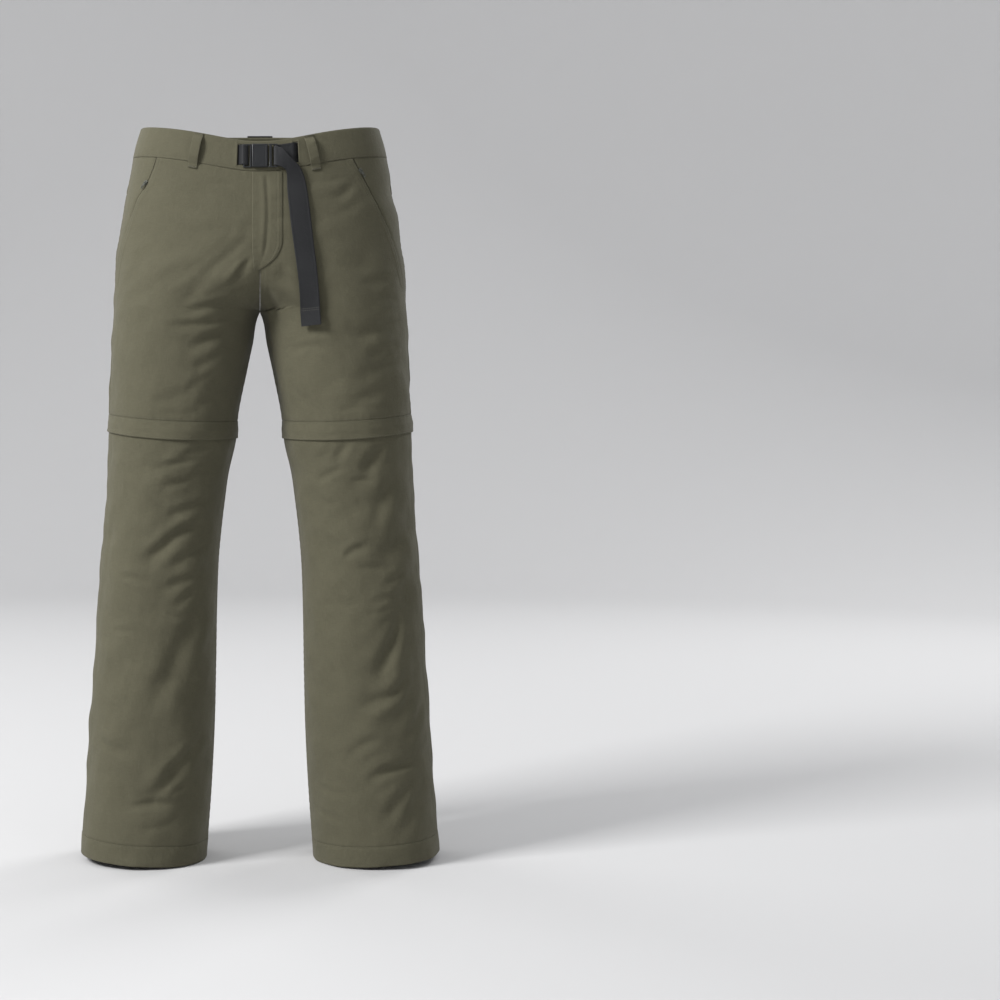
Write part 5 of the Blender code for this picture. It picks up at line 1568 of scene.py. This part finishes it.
def make_slider(word, frame):
    half = SLIDER_LENGTH / 2
    slider = start_plate(f"zip_slider_{word}", [-SLIDER_HALF, SLIDER_HALF], [-half, -half + 2.6, half - 2.0, half])
    thicken(0.0, SLIDER_HIGH)
    bpy.ops.mesh.select_all(action="DESELECT")
    bpy.ops.object.mode_set(mode="OBJECT")
    for vertex in slider.data.vertices:
        y = vertex.co.y / MM
        if y > half - 0.1:
            vertex.co.x *= 0.62
        elif y < -half + 0.1:
            vertex.co.x *= 0.84
    bpy.ops.object.mode_set(mode="EDIT")
    round_edges(0.45)
    bpy.ops.object.mode_set(mode="OBJECT")
    bpy.ops.object.select_all(action="DESELECT")
    bpy.ops.mesh.primitive_plane_add(size=2)
    bridge = bpy.context.object
    bpy.ops.object.mode_set(mode="EDIT")
    bpy.ops.transform.resize(value=(0.6 * MM, 0.3 * MM, 1))
    bpy.ops.transform.translate(value=(0, (HINGE[1] - 1.25) * MM, (SLIDER_HIGH - 0.4) * MM))
    bpy.ops.mesh.extrude_region_move(TRANSFORM_OT_translate={"value": (0, 0, 1.3 * MM)})
    bpy.ops.mesh.spin(
        steps=10, angle=-math.pi, center=(0, HINGE[1] * MM, HINGE[2] * MM), axis=(1, 0, 0)
    )
    bpy.ops.mesh.extrude_region_move(TRANSFORM_OT_translate={"value": (0, 0, -1.3 * MM)})
    bpy.ops.mesh.select_all(action="SELECT")
    bpy.ops.mesh.remove_doubles(threshold=0.00001)
    bpy.ops.mesh.normals_make_consistent(inside=False)
    bpy.ops.object.mode_set(mode="OBJECT")
    slider.select_set(True)
    bridge.select_set(True)
    bpy.context.view_layer.objects.active = slider
    bpy.ops.object.join()
    return place_hard(slider, frame, painted, "trousers", f"{word}_slider")


def make_tab(word, frame):
    x_lines = [-TAB_HALF, -TAB_EYE, TAB_EYE, TAB_HALF]
    y_lines = [-0.6, 0.6, 2.3, TAB_LENGTH - 4.5, TAB_LENGTH - 1.2, TAB_LENGTH]
    tab = start_plate(f"zip_tab_{word}", x_lines, y_lines, holes={(1, 1), (3, 1)})
    thicken(-TAB_THICK / 2, TAB_THICK / 2)
    bpy.ops.mesh.select_all(action="DESELECT")
    bpy.ops.object.mode_set(mode="OBJECT")
    for vertex in tab.data.vertices:
        y = vertex.co.y / MM
        if abs(vertex.co.x) > 1.5 * MM:
            if y > TAB_LENGTH - 0.1 or y < -0.5:
                vertex.co.x *= 0.72
            elif 2 < y < TAB_LENGTH - 4:
                vertex.co.x *= 0.86
    bpy.ops.object.mode_set(mode="EDIT")
    round_edges(0.22, 2)
    hinge = frame @ Matrix.Translation(Vector(HINGE) * MM)
    return place_hard(tab, hinge, painted, f"{word}_tab", f"{word}_pull")


for word, side, high, high_along in (("pocket_right", -1, -52.0, -80.0), ("pocket_left", 1, -34.0, -62.0)):
    ends = np.array([high, high_along])
    turns = pocket_angle(side, ends)
    turns = turns + turn_for(1.2, ends, np.full(2, -30.0))
    frame = zip_frame(side, high, turns[0], high_along, turns[1], 0.3)
    make_slider(word, frame)
    make_tab(word, frame)
ends = np.array([-968.0, -992.0])
turns = ankle_angle(ends)
frame = zip_frame(-1, ends[0], turns[0], ends[1], turns[1], 0.9)
make_slider("ankle", frame)
make_tab("ankle", frame)

# Zip teeth
# A fine plastic coil is sewn down the middle of each zip tape.
# Every turn shows as one small rounded bar, and the two halves mesh like a plait.
tooth = start_plate("zip_tooth", [-0.9, 0.9], [-0.36, 0.36])
thicken(0, 0.7)
round_edges(0.2, 2)
bpy.ops.mesh.quads_convert_to_tris()
bpy.ops.object.mode_set(mode="OBJECT")
tooth_points = np.array([vertex.co for vertex in tooth.data.vertices]) / MM
tooth_faces = np.array([face.vertices for face in tooth.data.polygons])
bpy.data.objects.remove(tooth)
coil, _, _ = new_material("zip coil", (0.030, 0.029, 0.022), 0.45)


def set_teeth(name, points, normals, pitch=1.35):
    """A run of teeth along a line of points on a tape."""
    run = np.concatenate([[0], np.cumsum(np.linalg.norm(np.diff(points, axis=0), axis=1))])
    count = int(run[-1] / pitch)
    at = (np.arange(count) + 0.5) * run[-1] / count
    middles = np.stack([np.interp(at, run, points[:, k]) for k in range(3)], 1)
    outs = np.stack([np.interp(at, run, normals[:, k]) for k in range(3)], 1)
    outs /= np.linalg.norm(outs, axis=1, keepdims=True)
    along = np.gradient(middles, axis=0)
    along /= np.linalg.norm(along, axis=1, keepdims=True)
    across = np.cross(along, outs)
    sway = np.where(np.arange(count) % 2, 0.45, -0.45)[:, None]
    middles = middles + across * sway
    corners = (
        middles[:, None]
        + across[:, None] * tooth_points[:, 0, None]
        + along[:, None] * tooth_points[:, 1, None]
        + outs[:, None] * tooth_points[:, 2, None]
    )
    faces = (np.arange(count)[:, None, None] * len(tooth_points) + tooth_faces).reshape(-1, 3)
    mesh = bpy.data.meshes.new(name)
    mesh.from_pydata((corners.reshape(-1, 3) * MM).tolist(), [], faces.tolist())
    mesh.shade_smooth()
    mesh.materials.append(coil)
    teeth = bpy.data.objects.new(name, mesh)
    bpy.context.scene.collection.objects.link(teeth)
    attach(teeth, "trousers")
    return teeth


set_teeth("zip_teeth_ankle", *line_at(ankle_tape, column=8))
for word, strip in pocket_tapes.items():
    set_teeth(f"zip_teeth_pocket_{word}", *line_at(strip, column=4))

# Bounds of every shown piece, leaving out the studio
low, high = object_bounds()
